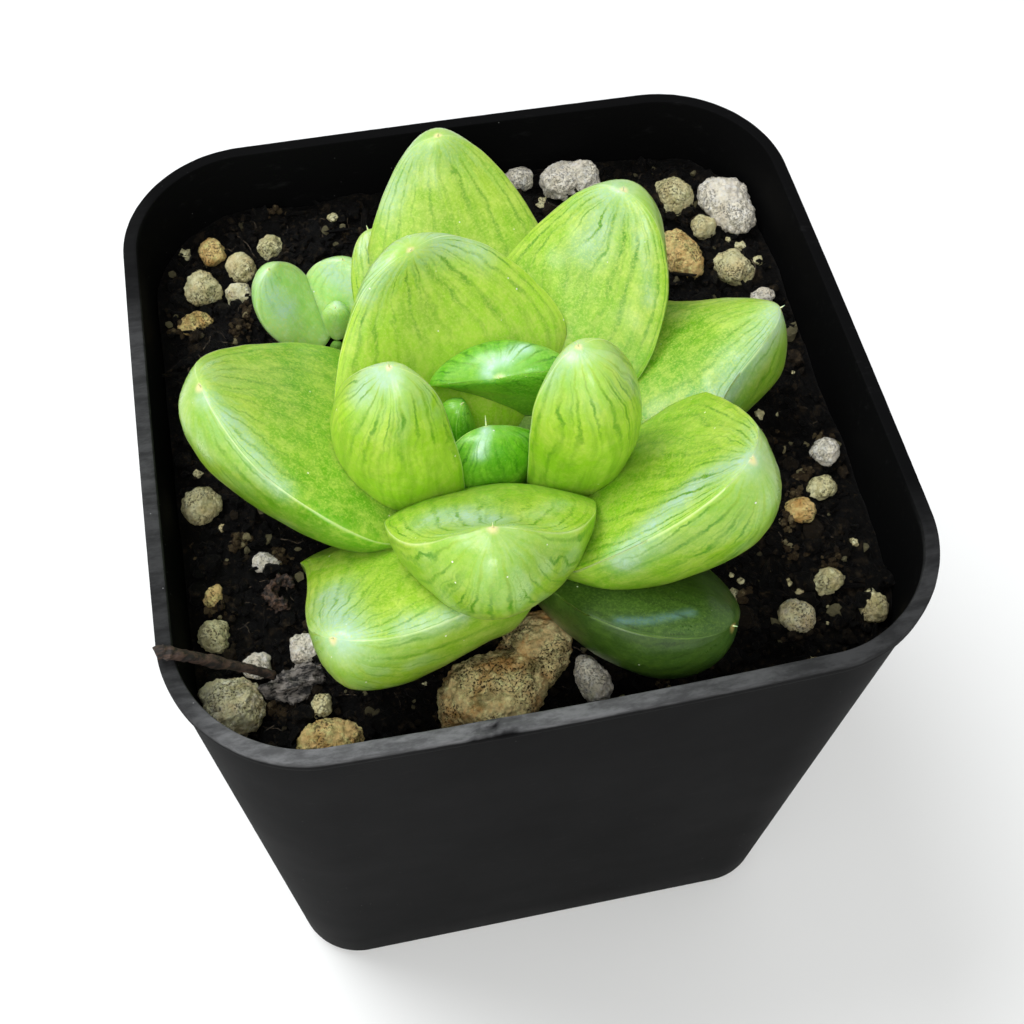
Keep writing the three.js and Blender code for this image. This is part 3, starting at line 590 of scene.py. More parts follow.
def leaf_material(name, looks, vein_share, clear_share, sheen=0.3, belly=0.0, root_from=(0.38, 0.84), **other):
    """Leaf skin with the colours of the settings, or with others given by name."""
    tint = {key: other.get(key, getattr(looks, key)) for key in (
        "flesh", "pale", "root", "vein", "network", "window", "window_deep", "margin", "glow", "tip")}
    material, n, shader, where = new_material(name)
    around, distance, _ = n.split(n.make("ShaderNodeUVMap", uv_map="Veins"))
    turn = n.math("SINE", n.split(n.make("ShaderNodeUVMap", uv_map="UVMap"))[0] * TAU)
    marks = n.use("leaf_markings", Place=where, Around=around, Distance=distance, Turn=turn)
    under = n.step(turn, -0.5, 0.15, 1.0, 0.0)
    clear = n.mix(marks["Tone"], tint["window_deep"], tint["window"])
    clear_by = under * (-1.6 * belly * clear_share) + clear_share
    # painted highlight: the pale band colour, partly clear skin and partly standing in for light glinting on
    # the ridges
    glow = n.math("MINIMUM", n.attribute("Clear skin glint") * (marks["Clouds"] * 0.5 + 0.6), 1.0)
    line = n.mix(marks["Near"] * 0.5, tint["vein"], tint["network"])
    grain = marks["Grain"] * n.step(turn, 0.1, 0.5, 0.2, 0.6)
    body = n.layers(
        n.mix(n.step(distance, *root_from), tint["flesh"], tint["root"]),
        (marks["Clouds"] * 0.6, tint["pale"]), (marks["Streaks"] * (0.42 * vein_share), tint["vein"]),
        (under * belly, tint["vein"]), (marks["Windows"] * clear_by, clear), (glow, tint["glow"]),
        (marks["Veins"] * vein_share, line), (grain, tint["network"]), (marks["Margin"] * 0.5, tint["margin"]),
        (marks["Tip"] * 0.8, tint["tip"]), (marks["Sparkle"] * 0.8, (1.0, 1.0, 0.95)))
    fine = marks["Grain"] * 0.35 + n.noise(where, 1600.0, 3.0)
    n.fill(shader, Base_Color=body, Roughness=0.36 - marks["Windows"] * 0.1 + grain * 0.3, IOR=1.42,
           Subsurface_Weight=0.6, Subsurface_Radius=(1.0, 1.0, 0.3), Subsurface_Scale=0.0035,
           Coat_Weight=sheen, Coat_Roughness=0.2, Normal=n.bump(fine, 0.2, 0.00014))
    return material


def pumice_grain_group():
    """Painted shade in the pits, stain, green film, dirt, pale grain and fine height of pumice."""
    n, (place,), grain = new_group("pumice_grain", (), ("Pits", "Stain", "Film", "Dirt", "Pale", "Height"))
    pitted = n.step(n.noise(place, 420.0, 2.0), 0.4, 0.56, 0.2, 1.0)
    pits = n.step(n.noise(place, 4600.0, 3.0, 0.65), 0.5, 0.62) * pitted
    n.fill(grain,
           # Pits: where the pits are, for the dark colour painted into them as their shade
           Pits=pits,
           Stain=n.step(n.noise(place, 300.0, 4.0, 0.65), 0.46, 0.66),
           Film=n.step(n.noise(n.stretched(place, (1, 1, 1.4)), 420.0, 5.0, 0.7), 0.44, 0.66),
           Dirt=n.step(n.noise(place, 820.0, 5.0, 0.72), 0.5, 0.7),
           Pale=n.step(n.noise(place, 1500.0, 4.0, 0.7), 0.42, 0.7),
           Height=n.noise(place, 2200.0, 6.0, 0.8) - pits * 0.6)


def pumice_material(name, base, stain, moss, stain_share, film_share, pitted=0.75):
    """Pitted stone in its own tone, partly stained and covered by a film."""
    material, n, shader, where = new_material(name)
    grain = n.use("pumice_grain", Place=where)
    body = n.layers(
        base, (grain["Pale"] * 0.7, tuple(min(0.95, c * 1.7) for c in base)),
        (grain["Stain"] * stain_share, stain), (grain["Film"] * film_share, moss),
        # painted shade: dark brown laid into the pits, standing in for the shade inside the pores
        (grain["Dirt"] * 0.3, srgb(104, 92, 56)), (grain["Pits"] * pitted, srgb(56, 44, 24)))
    n.fill(shader, Base_Color=body, Roughness=grain["Pale"] * 0.1 + 0.84, Specular_IOR_Level=0.25,
           Normal=n.bump(grain["Height"], 0.9, 0.00035))
    return material


def peat_material(name, peat, light, share, pale=None):
    """Near-black mix with drier specks, and with paler crumbs where a pale colour is given."""
    material, n, shader, where = new_material(name)
    patches = n.step(n.noise(where, 620.0, 5.0, 0.7), 0.54, 0.74)
    specks = n.step(n.noise(where, 2600.0, 3.0, 0.6), 0.6, 0.68)
    body = n.mix((specks * 0.7 + patches) * share, peat, light)
    if pale:
        chosen, broken = n.attribute("Tone"), patches * 0.7 + 0.3
        body = n.layers(body, (n.step(chosen, 0.75, 1.0, 0.0, 0.7) * broken, light),
                        (n.step(chosen, 0.95, 0.98, 0.0, 0.8) * broken, pale))
    n.fill(shader, Base_Color=body, Roughness=patches * 0.2 + 0.45, Specular_IOR_Level=0.2,
           Normal=n.bump(n.noise(where, 1500.0, 6.0, 0.8), 1.0, 0.0009))
    return material


def fibrous_material(name, base, dark, direction, crown=None):
    """Wood, bark and dry skin: streaks along one way, with cracks, and another colour where leaves start."""
    material, n, shader, where = new_material(name)
    streaks = n.noise(n.stretched(where, direction), 2200.0, 4.0, 0.65)
    cracks = n.step(n.noise(where, 800.0, 3.0), 0.5, 0.7)
    body = n.layers(dark, (n.step(streaks, 0.42, 0.62), base),
                    (cracks * 0.5, tuple(min(1.0, c * 1.9) for c in base)))
    if crown:
        body = n.mix(n.step(n.split(where)[2], 0.069, 0.072, 0.0, 0.9), body, crown)
    n.fill(shader, Base_Color=body, Roughness=cracks * 0.15 + 0.7, Normal=n.bump(streaks, 0.8, 0.0003))
    return material


def plastic_material(name, plastic, rim_scuff_and_highlight):
    """Matte black plastic, fine-grained, scuffed, and lighter on the rim's upper face by scuffs and a painted
    highlight.
    """
    material, n, shader, where = new_material(name)
    x, y, z = n.split(where)
    scuffs = n.step(n.noise(n.stretched(where, (0.35, 1, 1), (0.5, 0.3, 0.8)), 900.0, 4.0, 0.7), 0.58, 0.8)
    clouds = n.noise(where, 45.0, 4.0, 0.6)
    # the rim's upper face is lighter most along the front, and a little on the left: partly scuffs, partly a
    # painted highlight
    front = n.step(y, -0.018, -0.031) * n.step(x, -0.008, 0.026, 1.0, 0.25)
    front = front * n.step(x, -0.034, -0.028, 0.35, 1.0)
    left = n.step(x, -0.031, -0.034) * n.step(y, -0.022, -0.004, 0.2, 0.34)
    left = left * n.step(y, 0.008, 0.02, 1.0, 0.1)
    streaks = n.step(n.noise(n.stretched(where, (0.16, 0.5, 1)), 1500.0, 5.0, 0.7), 0.36, 0.66)
    # painted highlight on the rim's upper face, with real scuffs streaked through it
    wear = n.step(z, 0.07925, 0.0798) * n.math("MAXIMUM", front, left) * (streaks * 0.55 + 0.45)
    dust = n.step(n.cells(where, 700.0), 0.02, 0.06, 1.0, 0.0) * 0.5
    body = n.layers(plastic, (scuffs * 0.04, rim_scuff_and_highlight), (wear, rim_scuff_and_highlight),
                    (dust * n.step(clouds, 0.5, 0.6), (0.3, 0.3, 0.3)))
    n.fill(shader, Base_Color=body, Roughness=clouds * 0.2 + 0.5, Specular_IOR_Level=0.02,
           Normal=n.bump(n.noise(where, 5200.0, 2.0), 0.12, 0.0001))
    return material


def stage_material(name, base):
    material, n, shader, where = new_material(name)
    n.fill(shader, Base_Color=n.mix(n.noise(where, 6.0, 2.0) * 0.1, base, (0.8, 0.8, 0.8)), Roughness=0.9,
           Specular_IOR_Level=0.1)
    return material


# Shapes

def outline(count, half, radius, z, height, front_bow, side_bow):
    """Points round a square with round corners and slightly bowed sides, evenly spaced."""
    straight = 2 * (half - radius)
    arc = math.pi / 2 * radius
    total = 4 * (straight + arc)
    points = []
    for i in range(count):
        run = total * i / count
        side, left = divmod(run, straight + arc)
        # each quarter starts in the middle of a straight side, +X first
        if left < straight / 2:
            x, y = half, left
        elif left < straight / 2 + arc:
            a = (left - straight / 2) / radius
            x, y = half - radius + radius * math.cos(a), half - radius + radius * math.sin(a)
        else:
            x, y = straight / 2 - (left - straight / 2 - arc), half
        for _ in range(int(side) % 4):
            x, y = -y, x
        share = z / height
        front = front_bow if y < 0 else side_bow
        bow_x = side_bow * share * (1 - (y / half) ** 2) * (abs(x) / half) ** 6
        bow_y = front * share * share * (1 - (x / half) ** 2) * (abs(y) / half) ** 6
        points.append(Vector((x + math.copysign(bow_x, x), y + math.copysign(bow_y, y), z)))
    return points


def pot_ring(pot, z, out, points):
    """The outline of the pot's wall at a height, moved out by some length."""
    share = z / pot.height
    half = pot.base_half + (pot.rim_half - pot.bead_proud - pot.base_half) * share + out
    radius = pot.base_corner + (pot.rim_corner - pot.base_corner) * share + out
    return outline(points, half, radius, z, pot.height, pot.front_bow, pot.side_bow)


def loft(name, rings):
    """A closed shell through rings of points, flat at both ends."""
    count = len(rings[0])
    last = (len(rings) - 1) * count
    faces = [tuple(range(count - 1, -1, -1))]
    for start in range(0, last, count):
        for j in range(count):
            k = (j + 1) % count
            faces.append((start + j, start + k, start + count + k, start + count + j))
    faces.append(tuple(range(last, last + count)))
    return new_piece(name, [point for ring in rings for point in ring], faces)


def soil_height(mix, x, y):
    """Height of the mix in millimetres, with its long ripples."""
    broad = math.sin(x * 0.31 + 0.7) * math.cos(y * 0.27 - 0.4)
    slanting = 0.6 * math.sin(x * 0.62 - y * 0.55 + 1.9)
    return mix.level / MM + 0.03 * y + mix.ripple / MM * (broad + slanting)


def clump(x, y):
    """Unevenness of the mix's top, about -1 to 1."""
    broad = noise.noise(Vector((x * 0.22, y * 0.22, 3.1)))
    lumps = noise.fractal(Vector((x * 0.55, y * 0.55, 7.7)), 0.8, 2.2, 4)
    distances, _ = noise.voronoi(Vector((x * 0.7, y * 0.7, 1.3)))
    balls = 0.5 - min(1.0, distances[0])
    return 0.45 * broad + 0.4 * lumps + 0.45 * balls


def ground(mix, x, y, share=1.0):
    """Height of the mix in millimetres, with its clumps or a share of them."""
    return soil_height(mix, x, y) + mix.clumps / MM * clump(x, y) * share


def inside_pot(pot, x, y, inset):
    """True where a point, in millimetres, is inside the pot's wall at the mix's level."""
    half = pot.rim_half / MM - 2.0 - inset
    radius = MIX_CORNER - inset
    dx, dy = max(abs(x) - (half - radius), 0), max(abs(y) - (half - radius), 0)
    return math.hypot(dx, dy) < radius


def rim_wear(point):
    """How far the rim's edge is worn, in millimetres: most along the front, with one nick."""
    x, y = point.x / MM, point.y / MM
    front = min(1.0, max(0.0, (-y - 27.0) / 6.0))
    ragged = 0.5 + 0.5 * noise.fractal(Vector((x * 0.9, y * 0.9, 2.0)), 0.7, 2.1, 4)
    nick = math.exp(-((x + 8.2) / 2.6) ** 2) * (0.6 + 0.7 * noise.noise(Vector((x * 1.3, y * 2.0, 0))))
    return front * (0.16 * ragged + 0.8 * nick) + 0.03 * ragged


class MESH_OT_haworthia_pot(bpy.types.Operator):
    """Square nursery pot with a thicker band under its rim and four drain holes"""
    bl_idname = "mesh.haworthia_pot"
    bl_label = "Pot"

    def execute(self, context):
        pot = context.scene.haworthia_pot
        top = pot.height
        bead = top - pot.bead_height
        foot = 0.0012
        lip = pot.bead_proud - 0.00025
        # heights, each with how far the surface stands out there: outer wall, band, rim, inner wall, floor
        steps = [(0, -pot.foot_rounding), (0.00012, -0.0008), (0.00036, -0.00036), (0.0007, -0.00012),
                 (foot, 0)]
        steps += [(foot + (bead - foot) * i / 12, 0) for i in range(1, 13)]
        steps += [(bead + 0.0001, 0.00015), (bead + 0.0003, 0.0003), (bead + 0.0005, pot.bead_proud),
                  (top - 0.0007, pot.bead_proud), (top - 0.0004, pot.bead_proud - 0.00001),
                  (top - 0.00015, pot.bead_proud - 0.00006), (top - 0.00003, pot.bead_proud - 0.00014)]
        steps += [(top, lip - 0.00105 * i / 5) for i in range(5)]
        steps += [(top, 0.00022 - pot.wall), (top - 0.00005, 0.00008 - pot.wall)]
        steps += [(top - 0.0002 - (top - 0.004) * i / 12, -pot.wall) for i in range(13)]
        steps += [(pot.floor + 0.0006, -pot.wall - 0.0002), (pot.floor + 0.0002, -pot.wall - 0.0006),
                  (pot.floor, -pot.wall - pot.foot_rounding)]
        piece = loft("pot_shell", [pot_ring(pot, z, out, pot.outline_points) for z, out in steps])
        worn_depth = 0.0009
        for vertex in piece.data.vertices:
            near_top = (vertex.co.z - (top - worn_depth)) / worn_depth
            outer = max(abs(vertex.co.x), abs(vertex.co.y)) > pot.rim_half - worn_depth
            corner = Vector(vertex.co.xy).length > pot.rim_half * 1.2
            if vertex.co.z > top - worn_depth and (outer or corner):
                wear = rim_wear(vertex.co) * MM
                vertex.co.z -= wear * near_top * 0.75
                vertex.co.xy = vertex.co.xy * (1 - 0.5 * wear * near_top / pot.rim_half)
        for sx, sy in ((-1, -1), (-1, 1), (1, -1), (1, 1)):
            clear_selection()
            bpy.ops.mesh.primitive_cylinder_add(
                vertices=48, radius=pot.drain_diameter / 2, depth=pot.floor * 4,
                location=(sx * pot.drain_offset, sy * pot.drain_offset, pot.floor / 2))
            plug = named("drain_plug")
            apply_modifier(piece, "BOOLEAN", operation="DIFFERENCE", object=plug, solver="EXACT")
            bpy.data.objects.remove(plug)
        smooth_faces(piece, 35)
        finish_piece(piece, plastic_material("black_plastic", pot.plastic, pot.rim_scuff_and_highlight), "pot", "pot")
        return {"FINISHED"}


class MESH_OT_haworthia_soil(bpy.types.Operator):
    """Dark peat mix that fills the pot, with a clumpy top"""
    bl_idname = "mesh.haworthia_soil"
    bl_label = "Mix"

    def execute(self, context):
        pot, mix = context.scene.haworthia_pot, context.scene.haworthia_mix
        *rings, edge = [pot_ring(pot, z, -pot.wall - inset, MIX_OUTLINE) for z, inset in (
            (pot.floor + MIX_GAP, 0.0015), (pot.floor + 0.0015, MIX_GAP), (0.04, MIX_GAP),
            (mix.level, MIX_GAP * 0.4))]
        # the top closes in rings from the wall to the crown
        for row in range(MIX_ROWS + 1):
            share = 1 - row / (MIX_ROWS + 1)
            calm = 0.4 + 0.6 * min(1.0, (1 - share) * 14)
            line = []
            for point in edge:
                x = CROWN[0] + (point.x / MM - CROWN[0]) * share
                y = CROWN[1] + (point.y / MM - CROWN[1]) * share
                line.append(Vector((x, y, ground(mix, x, y, calm))) * MM)
            rings.append(line)
        piece = loft("peat_mix", rings)
        bpy.ops.object.shade_smooth()
        finish_piece(piece, peat_material("peat", mix.peat, mix.peat_light, 0.34), "soil", "soil")
        return {"FINISHED"}


def scatter(pot, mix, count, seed, low, high, sink, avoid=0.0):
    """Places, sizes and turns of loose bits on the mix, in millimetres, with a random share for each."""
    draw = random.Random(seed)
    found = []
    while len(found) < count:
        x, y = draw.uniform(-33, 33), draw.uniform(-33, 33)
        if inside_pot(pot, x, y, 0.6) and math.hypot(x - CROWN[0], y - CROWN[1]) >= avoid:
            size = low + (high - low) * draw.random() ** 2.2
            place = Vector((x, y, ground(mix, x, y) + size * sink))
            found.append((place, size, draw.random() * TAU, draw.random()))
    return found


def grain_shape(seed, subdivisions):
    """Points and faces of one rough grain: a small ball with its points drawn in and out."""
    clear_selection()
    bpy.ops.mesh.primitive_ico_sphere_add(subdivisions=subdivisions, radius=1.0)
    ball = named("grain_shape")
    points = places(ball.data)
    faces = [tuple(face.vertices) for face in ball.data.polygons]
    bpy.data.objects.remove(ball)
    draw = np.random.default_rng(seed)
    points *= 1 + draw.uniform(-0.32, 0.3, (len(points), 1))
    points *= (1.0, draw.uniform(0.65, 1.0), 0.75)
    return points, faces


def many_grains(name, spots, subdivisions, seed, stretch=(1.0, 1.0, 1.0)):
    """Many rough grains in one mesh, copied from a few shapes, with a tone of its own for each."""
    shapes = [grain_shape(seed + k, subdivisions) for k in range(GRAIN_SHAPES)]
    points, faces, tones = [], [], []
    for i, (place, size, turn, share) in enumerate(spots):
        shape, polygons = shapes[i % GRAIN_SHAPES]
        c, s = math.cos(turn), math.sin(turn)
        tilt = (share - 0.5) * 1.6
        a, b = math.cos(tilt), math.sin(tilt)
        spin = np.array([[c, s, 0], [-s, c, 0], [0, 0, 1]]) @ np.array([[1, 0, 0], [0, a, b], [0, -b, a]])
        start = len(points)
        points.extend((shape * stretch @ spin * size / 2 + np.array(place)) * MM)
        faces.extend(tuple(v + start for v in face) for face in polygons)
        tones.extend([share] * len(shape))
    piece = new_piece(name, points, faces)
    piece.data.attributes.new("Tone", "FLOAT", "POINT").data.foreach_set("value", tones)
    smooth_faces(piece, 32)
    return piece


# Where granular clumps and pale grit lie on the mix, in millimetres
CLUMP_SPOTS = [
    (28.2, -11.1), (26.7, -13.2), (25.4, -15.9), (18.2, -22.9), (22.7, -31.1), (28.1, 0.2), (28.9, 4.7),
    (26.0, -6.4), (30.8, -8.0), (24.0, -19.4), (27.9, -21.5), (-27.7, -8.4), (-33.0, -8.7), (-30.5, -14.8),
    (-24.1, -10.9), (-19.5, 32.2), (-23.6, 18.6), (-25.1, 16.7), (-29.4, -23.9), (-26.7, -25.4),
    (-31.4, 18.2), (-28.8, 5.8), (-12.0, -30.6), (8.6, -29.6), (14.5, -29.2), (2.0, 31.0), (20.0, 28.0),
]
GRIT_SPOTS = [(-29.7, 28.6), (-13.3, 29.9), (10.1, 28.7), (25.9, -3.5), (17.7, -22.8), (22.9, -30.6),
              (31.4, 15.8), (30.2, 18.4)]


class MESH_OT_haworthia_crumbs(bpy.types.Operator):
    """Loose peat crumbs, granular clumps and fine pale grit on the mix"""
    bl_idname = "mesh.haworthia_crumbs"
    bl_label = "Crumbs and grit"

    def execute(self, context):
        pot, mix = context.scene.haworthia_pot, context.scene.haworthia_mix
        dry = peat_material("peat_dry", mix.peat, mix.peat_light, 0.45, mix.olive)
        coarse = scatter(pot, mix, mix.crumbs // 6, 11, 1.0, 2.6, 0.15)
        finish_piece(many_grains("peat_crumbs", coarse, 2, 5), dry, "soil")
        fine = scatter(pot, mix, mix.crumbs, 12, 0.4, 1.3, 0.22)
        finish_piece(many_grains("peat_dust", fine, 1, 9), dry, "soil")
        slivers = scatter(pot, mix, mix.crumbs // 5, 15, 1.4, 4.0, 0.1)
        dark = peat_material("peat_sliver", mix.peat, mix.peat_light, 0.5)
        finish_piece(many_grains("peat_slivers", slivers, 2, 17, (1.0, 0.2, 0.14)), dark, "soil")
        draw = random.Random(7)
        clumps = []
        for x, y in CLUMP_SPOTS:
            for _ in range(draw.randint(12, 30)):
                px, py = x + draw.gauss(0, 0.55), y + draw.gauss(0, 0.55)
                if inside_pot(pot, px, py, 0.6):
                    lift = draw.uniform(0.0, 1.2) * math.exp(-1.2 * math.hypot(px - x, py - y))
                    clumps.append((Vector((px, py, ground(mix, px, py) + lift)), draw.uniform(0.35, 0.85),
                                   draw.random() * TAU, draw.random()))
        brown = peat_material("granular_brown", srgb(62, 50, 34), srgb(190, 170, 124), 0.35, mix.olive)
        finish_piece(many_grains("granular_clumps", clumps, 2, 31), brown, "soil")
        grit = scatter(pot, mix, mix.grit, 13, 0.35, 1.2, 0.2, 12.0)
        for x, y in GRIT_SPOTS:
            grit.append((Vector((x, y, ground(mix, x, y) + 0.3)), draw.uniform(1.2, 1.7),
                         draw.random() * TAU, 0.5))
        stone = pumice_material("grit", mix.olive, mix.stain, mix.moss, 0.3, 0.4)
        finish_piece(many_grains("pale_grit", grit, 2, 21), stone, "pumice_cream")
        return {"FINISHED"}


def strands(name, paths, sides):
    """Thin round strands in one piece, along paths of (point, radius) in millimetres."""
    points, faces = [], []
    for path in paths:
        start = len(points)
        for i, (place, radius) in enumerate(path):
            ahead = (path[min(i + 1, len(path) - 1)][0] - path[max(i - 1, 0)][0]).normalized()
            side = ahead.orthogonal().normalized() if i == 0 else (side - ahead * side.dot(ahead)).normalized()
            other = ahead.cross(side)
            for j in range(sides):
                a = TAU * j / sides
                points.append((place + (side * math.cos(a) + other * math.sin(a)) * radius) * MM)
        end = len(points) - sides
        for low in range(start, end, sides):
            for j in range(sides):
                k = (j + 1) % sides
                faces.append((low + j, low + k, low + sides + k, low + sides + j))
        faces.append(tuple(range(start + sides - 1, start - 1, -1)))
        faces.append(tuple(range(end, end + sides)))
    piece = new_piece(name, points, faces)
    bpy.ops.object.shade_smooth()
    return piece


class MESH_OT_haworthia_fibres(bpy.types.Operator):
    """Thin peat fibres that lie on and stick out of the mix"""
    bl_idname = "mesh.haworthia_fibres"
    bl_label = "Peat fibres"

    def execute(self, context):
        pot, mix = context.scene.haworthia_pot, context.scene.haworthia_mix
        draw = random.Random(41)
        paths = []
        for spot, size, heading, share in scatter(pot, mix, mix.fibres, 14, 1.6, 6.0, 0.0, 8.0):
            path = []
            lift = 0.1 + 0.9 * share * share
            for i in range(FIBRE_STEPS):
                heading += draw.uniform(-0.45, 0.45)
                lift -= 0.22
                spot = spot + Vector((math.cos(heading), math.sin(heading), lift)) * size / FIBRE_STEPS
                if not inside_pot(pot, spot.x, spot.y, 1.2):
                    break
                spot.z = max(spot.z, ground(mix, spot.x, spot.y) + 0.04)
                path.append((spot, (0.02 + 0.04 * share) * (1 - 0.5 * i / FIBRE_STEPS)))
            if len(path) > 3:
                paths.append(path)
        material = fibrous_material("peat_fibre", mix.fibre, mix.peat, (1, 1, 1))
        finish_piece(strands("peat_fibres", paths, 5), material, "soil")
        return {"FINISHED"}


def pumice_height(rough):
    """Lumps, knobs and pits of a stone, as a height for each place."""
    def height(p):
        broad = noise.noise(p * 0.24)
        lumps = noise.fractal(p * 0.5, 0.9, 2.1, 3)
        fine = noise.fractal(p * 2.2, 0.8, 2.2, 4)
        knobs = 0.5 - min(1.0, noise.voronoi(p * 0.75)[0][0])
        pit = max(0.0, 0.34 - noise.voronoi(p * 1.3)[0][0]) / 0.34
        return rough * (1.9 * broad + 0.9 * lumps + 0.5 * fine + 0.4 * knobs - 0.8 * pit * pit) + 0.04
    return height


class MESH_OT_haworthia_stones(bpy.types.Operator):
    """Pitted pumice stones, each with the form and place of its node"""
    bl_idname = "mesh.haworthia_stones"
    bl_label = "Pumice stones"

    def execute(self, context):
        mix = context.scene.haworthia_mix
        looks = {
            "ochre": pumice_material("pumice_ochre", mix.ochre, mix.stain, mix.moss, 0.7, 0.6),
            "olive": pumice_material("pumice_olive", mix.olive, mix.stain, mix.moss, 0.25, 0.5),
            "cream": pumice_material("pumice_cream", mix.cream, mix.stain, mix.moss, 0.12, 0.1, 0.55),
        }
        mossy = pumice_material("pumice_mossy", srgb(238, 232, 184), mix.stain, mix.moss, 0.36, 0.42)
        brown = pumice_material("pumice_brown", srgb(226, 202, 144), srgb(192, 122, 44), srgb(88, 86, 36),
                                0.7, 0.75, 1.0)
        own = dict.fromkeys(MOSSY_STONES, mossy) | dict.fromkeys(BROWN_STONES, brown)
        for tone, names in STONE_TONES.items():
            for name in names.split():
                node = "stone_" + name
                low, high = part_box(node)
                across = max(high[i] - low[i] for i in range(3)) / MM
                piece = remade(node, node + "_pumice", 0.1 + 0.006 * across, 12,
                               pumice_height(0.18 + 0.018 * across))
                finish_piece(piece, own.get(node, looks[tone]), "pumice_" + tone, node)
        return {"FINISHED"}


def spline(points, count):
    """Points along a smooth line through the given ones."""
    rows = [Vector(p) for p in points]
    rows = [rows[0] * 2 - rows[1], *rows, rows[-1] * 2 - rows[-2]]
    made = []
    for i in range(count + 1):
        place = (len(points) - 1) * i / count
        k = min(int(place), len(points) - 2)
        t = place - k
        a, b, c, d = rows[k], rows[k + 1], rows[k + 2], rows[k + 3]
        made.append(0.5 * ((2 * b) + (c - a) * t + (2 * a - 5 * b + 4 * c - d) * t * t
                           + (3 * b - 3 * c + d - a) * t ** 3))
    return made


class MESH_OT_haworthia_debris(bpy.types.Operator):
    """Dry twig on the rim, crumbly bark and a curled dry scrap"""
    bl_idname = "mesh.haworthia_debris"
    bl_label = "Twig, bark and scrap"

    def execute(self, context):
        mix = context.scene.haworthia_mix
        line = spline([(-34.9, -23.5, 81.0), (-33.8, -23.5, 80.85), (-31.0, -23.45, 78.1),
                       (-26.1, -23.6, 73.0)], TWIG_STEPS)
        path = []
        for i, place in enumerate(line):
            share = i / TWIG_STEPS
            knot = 0.16 * math.exp(-((share - 0.32) / 0.03) ** 2)
            knot += 0.12 * math.exp(-((share - 0.7) / 0.04) ** 2)
            bend = Vector((0, 0.1 * math.sin(share * 9), 0.08 * math.sin(share * 13 + 1)))
            path.append((place + bend, 0.62 - 0.22 * share + knot))
        twig = strands("dry_twig", [path], 16)
        displace(twig, lambda p: 0.12 * noise.fractal(Vector((p.x * 0.8, p.y * 3, p.z * 3)), 0.8, 2.0, 4))
        wood = fibrous_material("twig_wood", mix.twig, (0.01, 0.007, 0.005), (0.2, 1, 1))
        finish_piece(twig, wood, "twig", "twig")

        def crumbly(p):
            along = Vector((p.x * 0.5 + p.y * 0.2, p.y * 1.5, p.z * 1.5))
            ridge = abs(noise.noise(along * 0.9)) * 1.6
            return 0.6 * noise.fractal(along, 0.6, 2.3, 6) + ridge - 0.3

        bark = remade("bark_piece", "bark_crumb", 0.11, 6, crumbly)
        grain = fibrous_material("bark_grain", mix.bark, (0.006, 0.005, 0.005), (0.4, 1, 1))
        finish_piece(bark, grain, "bark", "bark_piece")
        scrap = remade("dry_scrap", "curled_scrap", 0.1, 8,
                       lambda p: 0.5 * noise.fractal(p * 1.6, 0.6, 2.2, 5) - 0.05)
        skin = fibrous_material("scrap_skin", mix.scrap, (0.01, 0.006, 0.004), (1, 1, 0.4))
        finish_piece(scrap, skin, "dry_scrap", "dry_scrap")
        return {"FINISHED"}


class MESH_OT_haworthia_stem(bpy.types.Operator):
    """Short stem with its roots and the runner to the offset"""
    bl_idname = "mesh.haworthia_stem"
    bl_label = "Stem and roots"

    def execute(self, context):
        stem = remade("stem_and_roots", "stem_with_roots", 0.28, 8,
                      lambda p: 0.12 * noise.fractal(p * 0.8, 0.8, 2.2, 3))
        skin = fibrous_material("root_skin", srgb(190, 178, 140), srgb(120, 100, 66), (1, 1, 0.4),
                                srgb(84, 146, 16))
        finish_piece(stem, skin, "stem", "stem_and_roots")
        return {"FINISHED"}


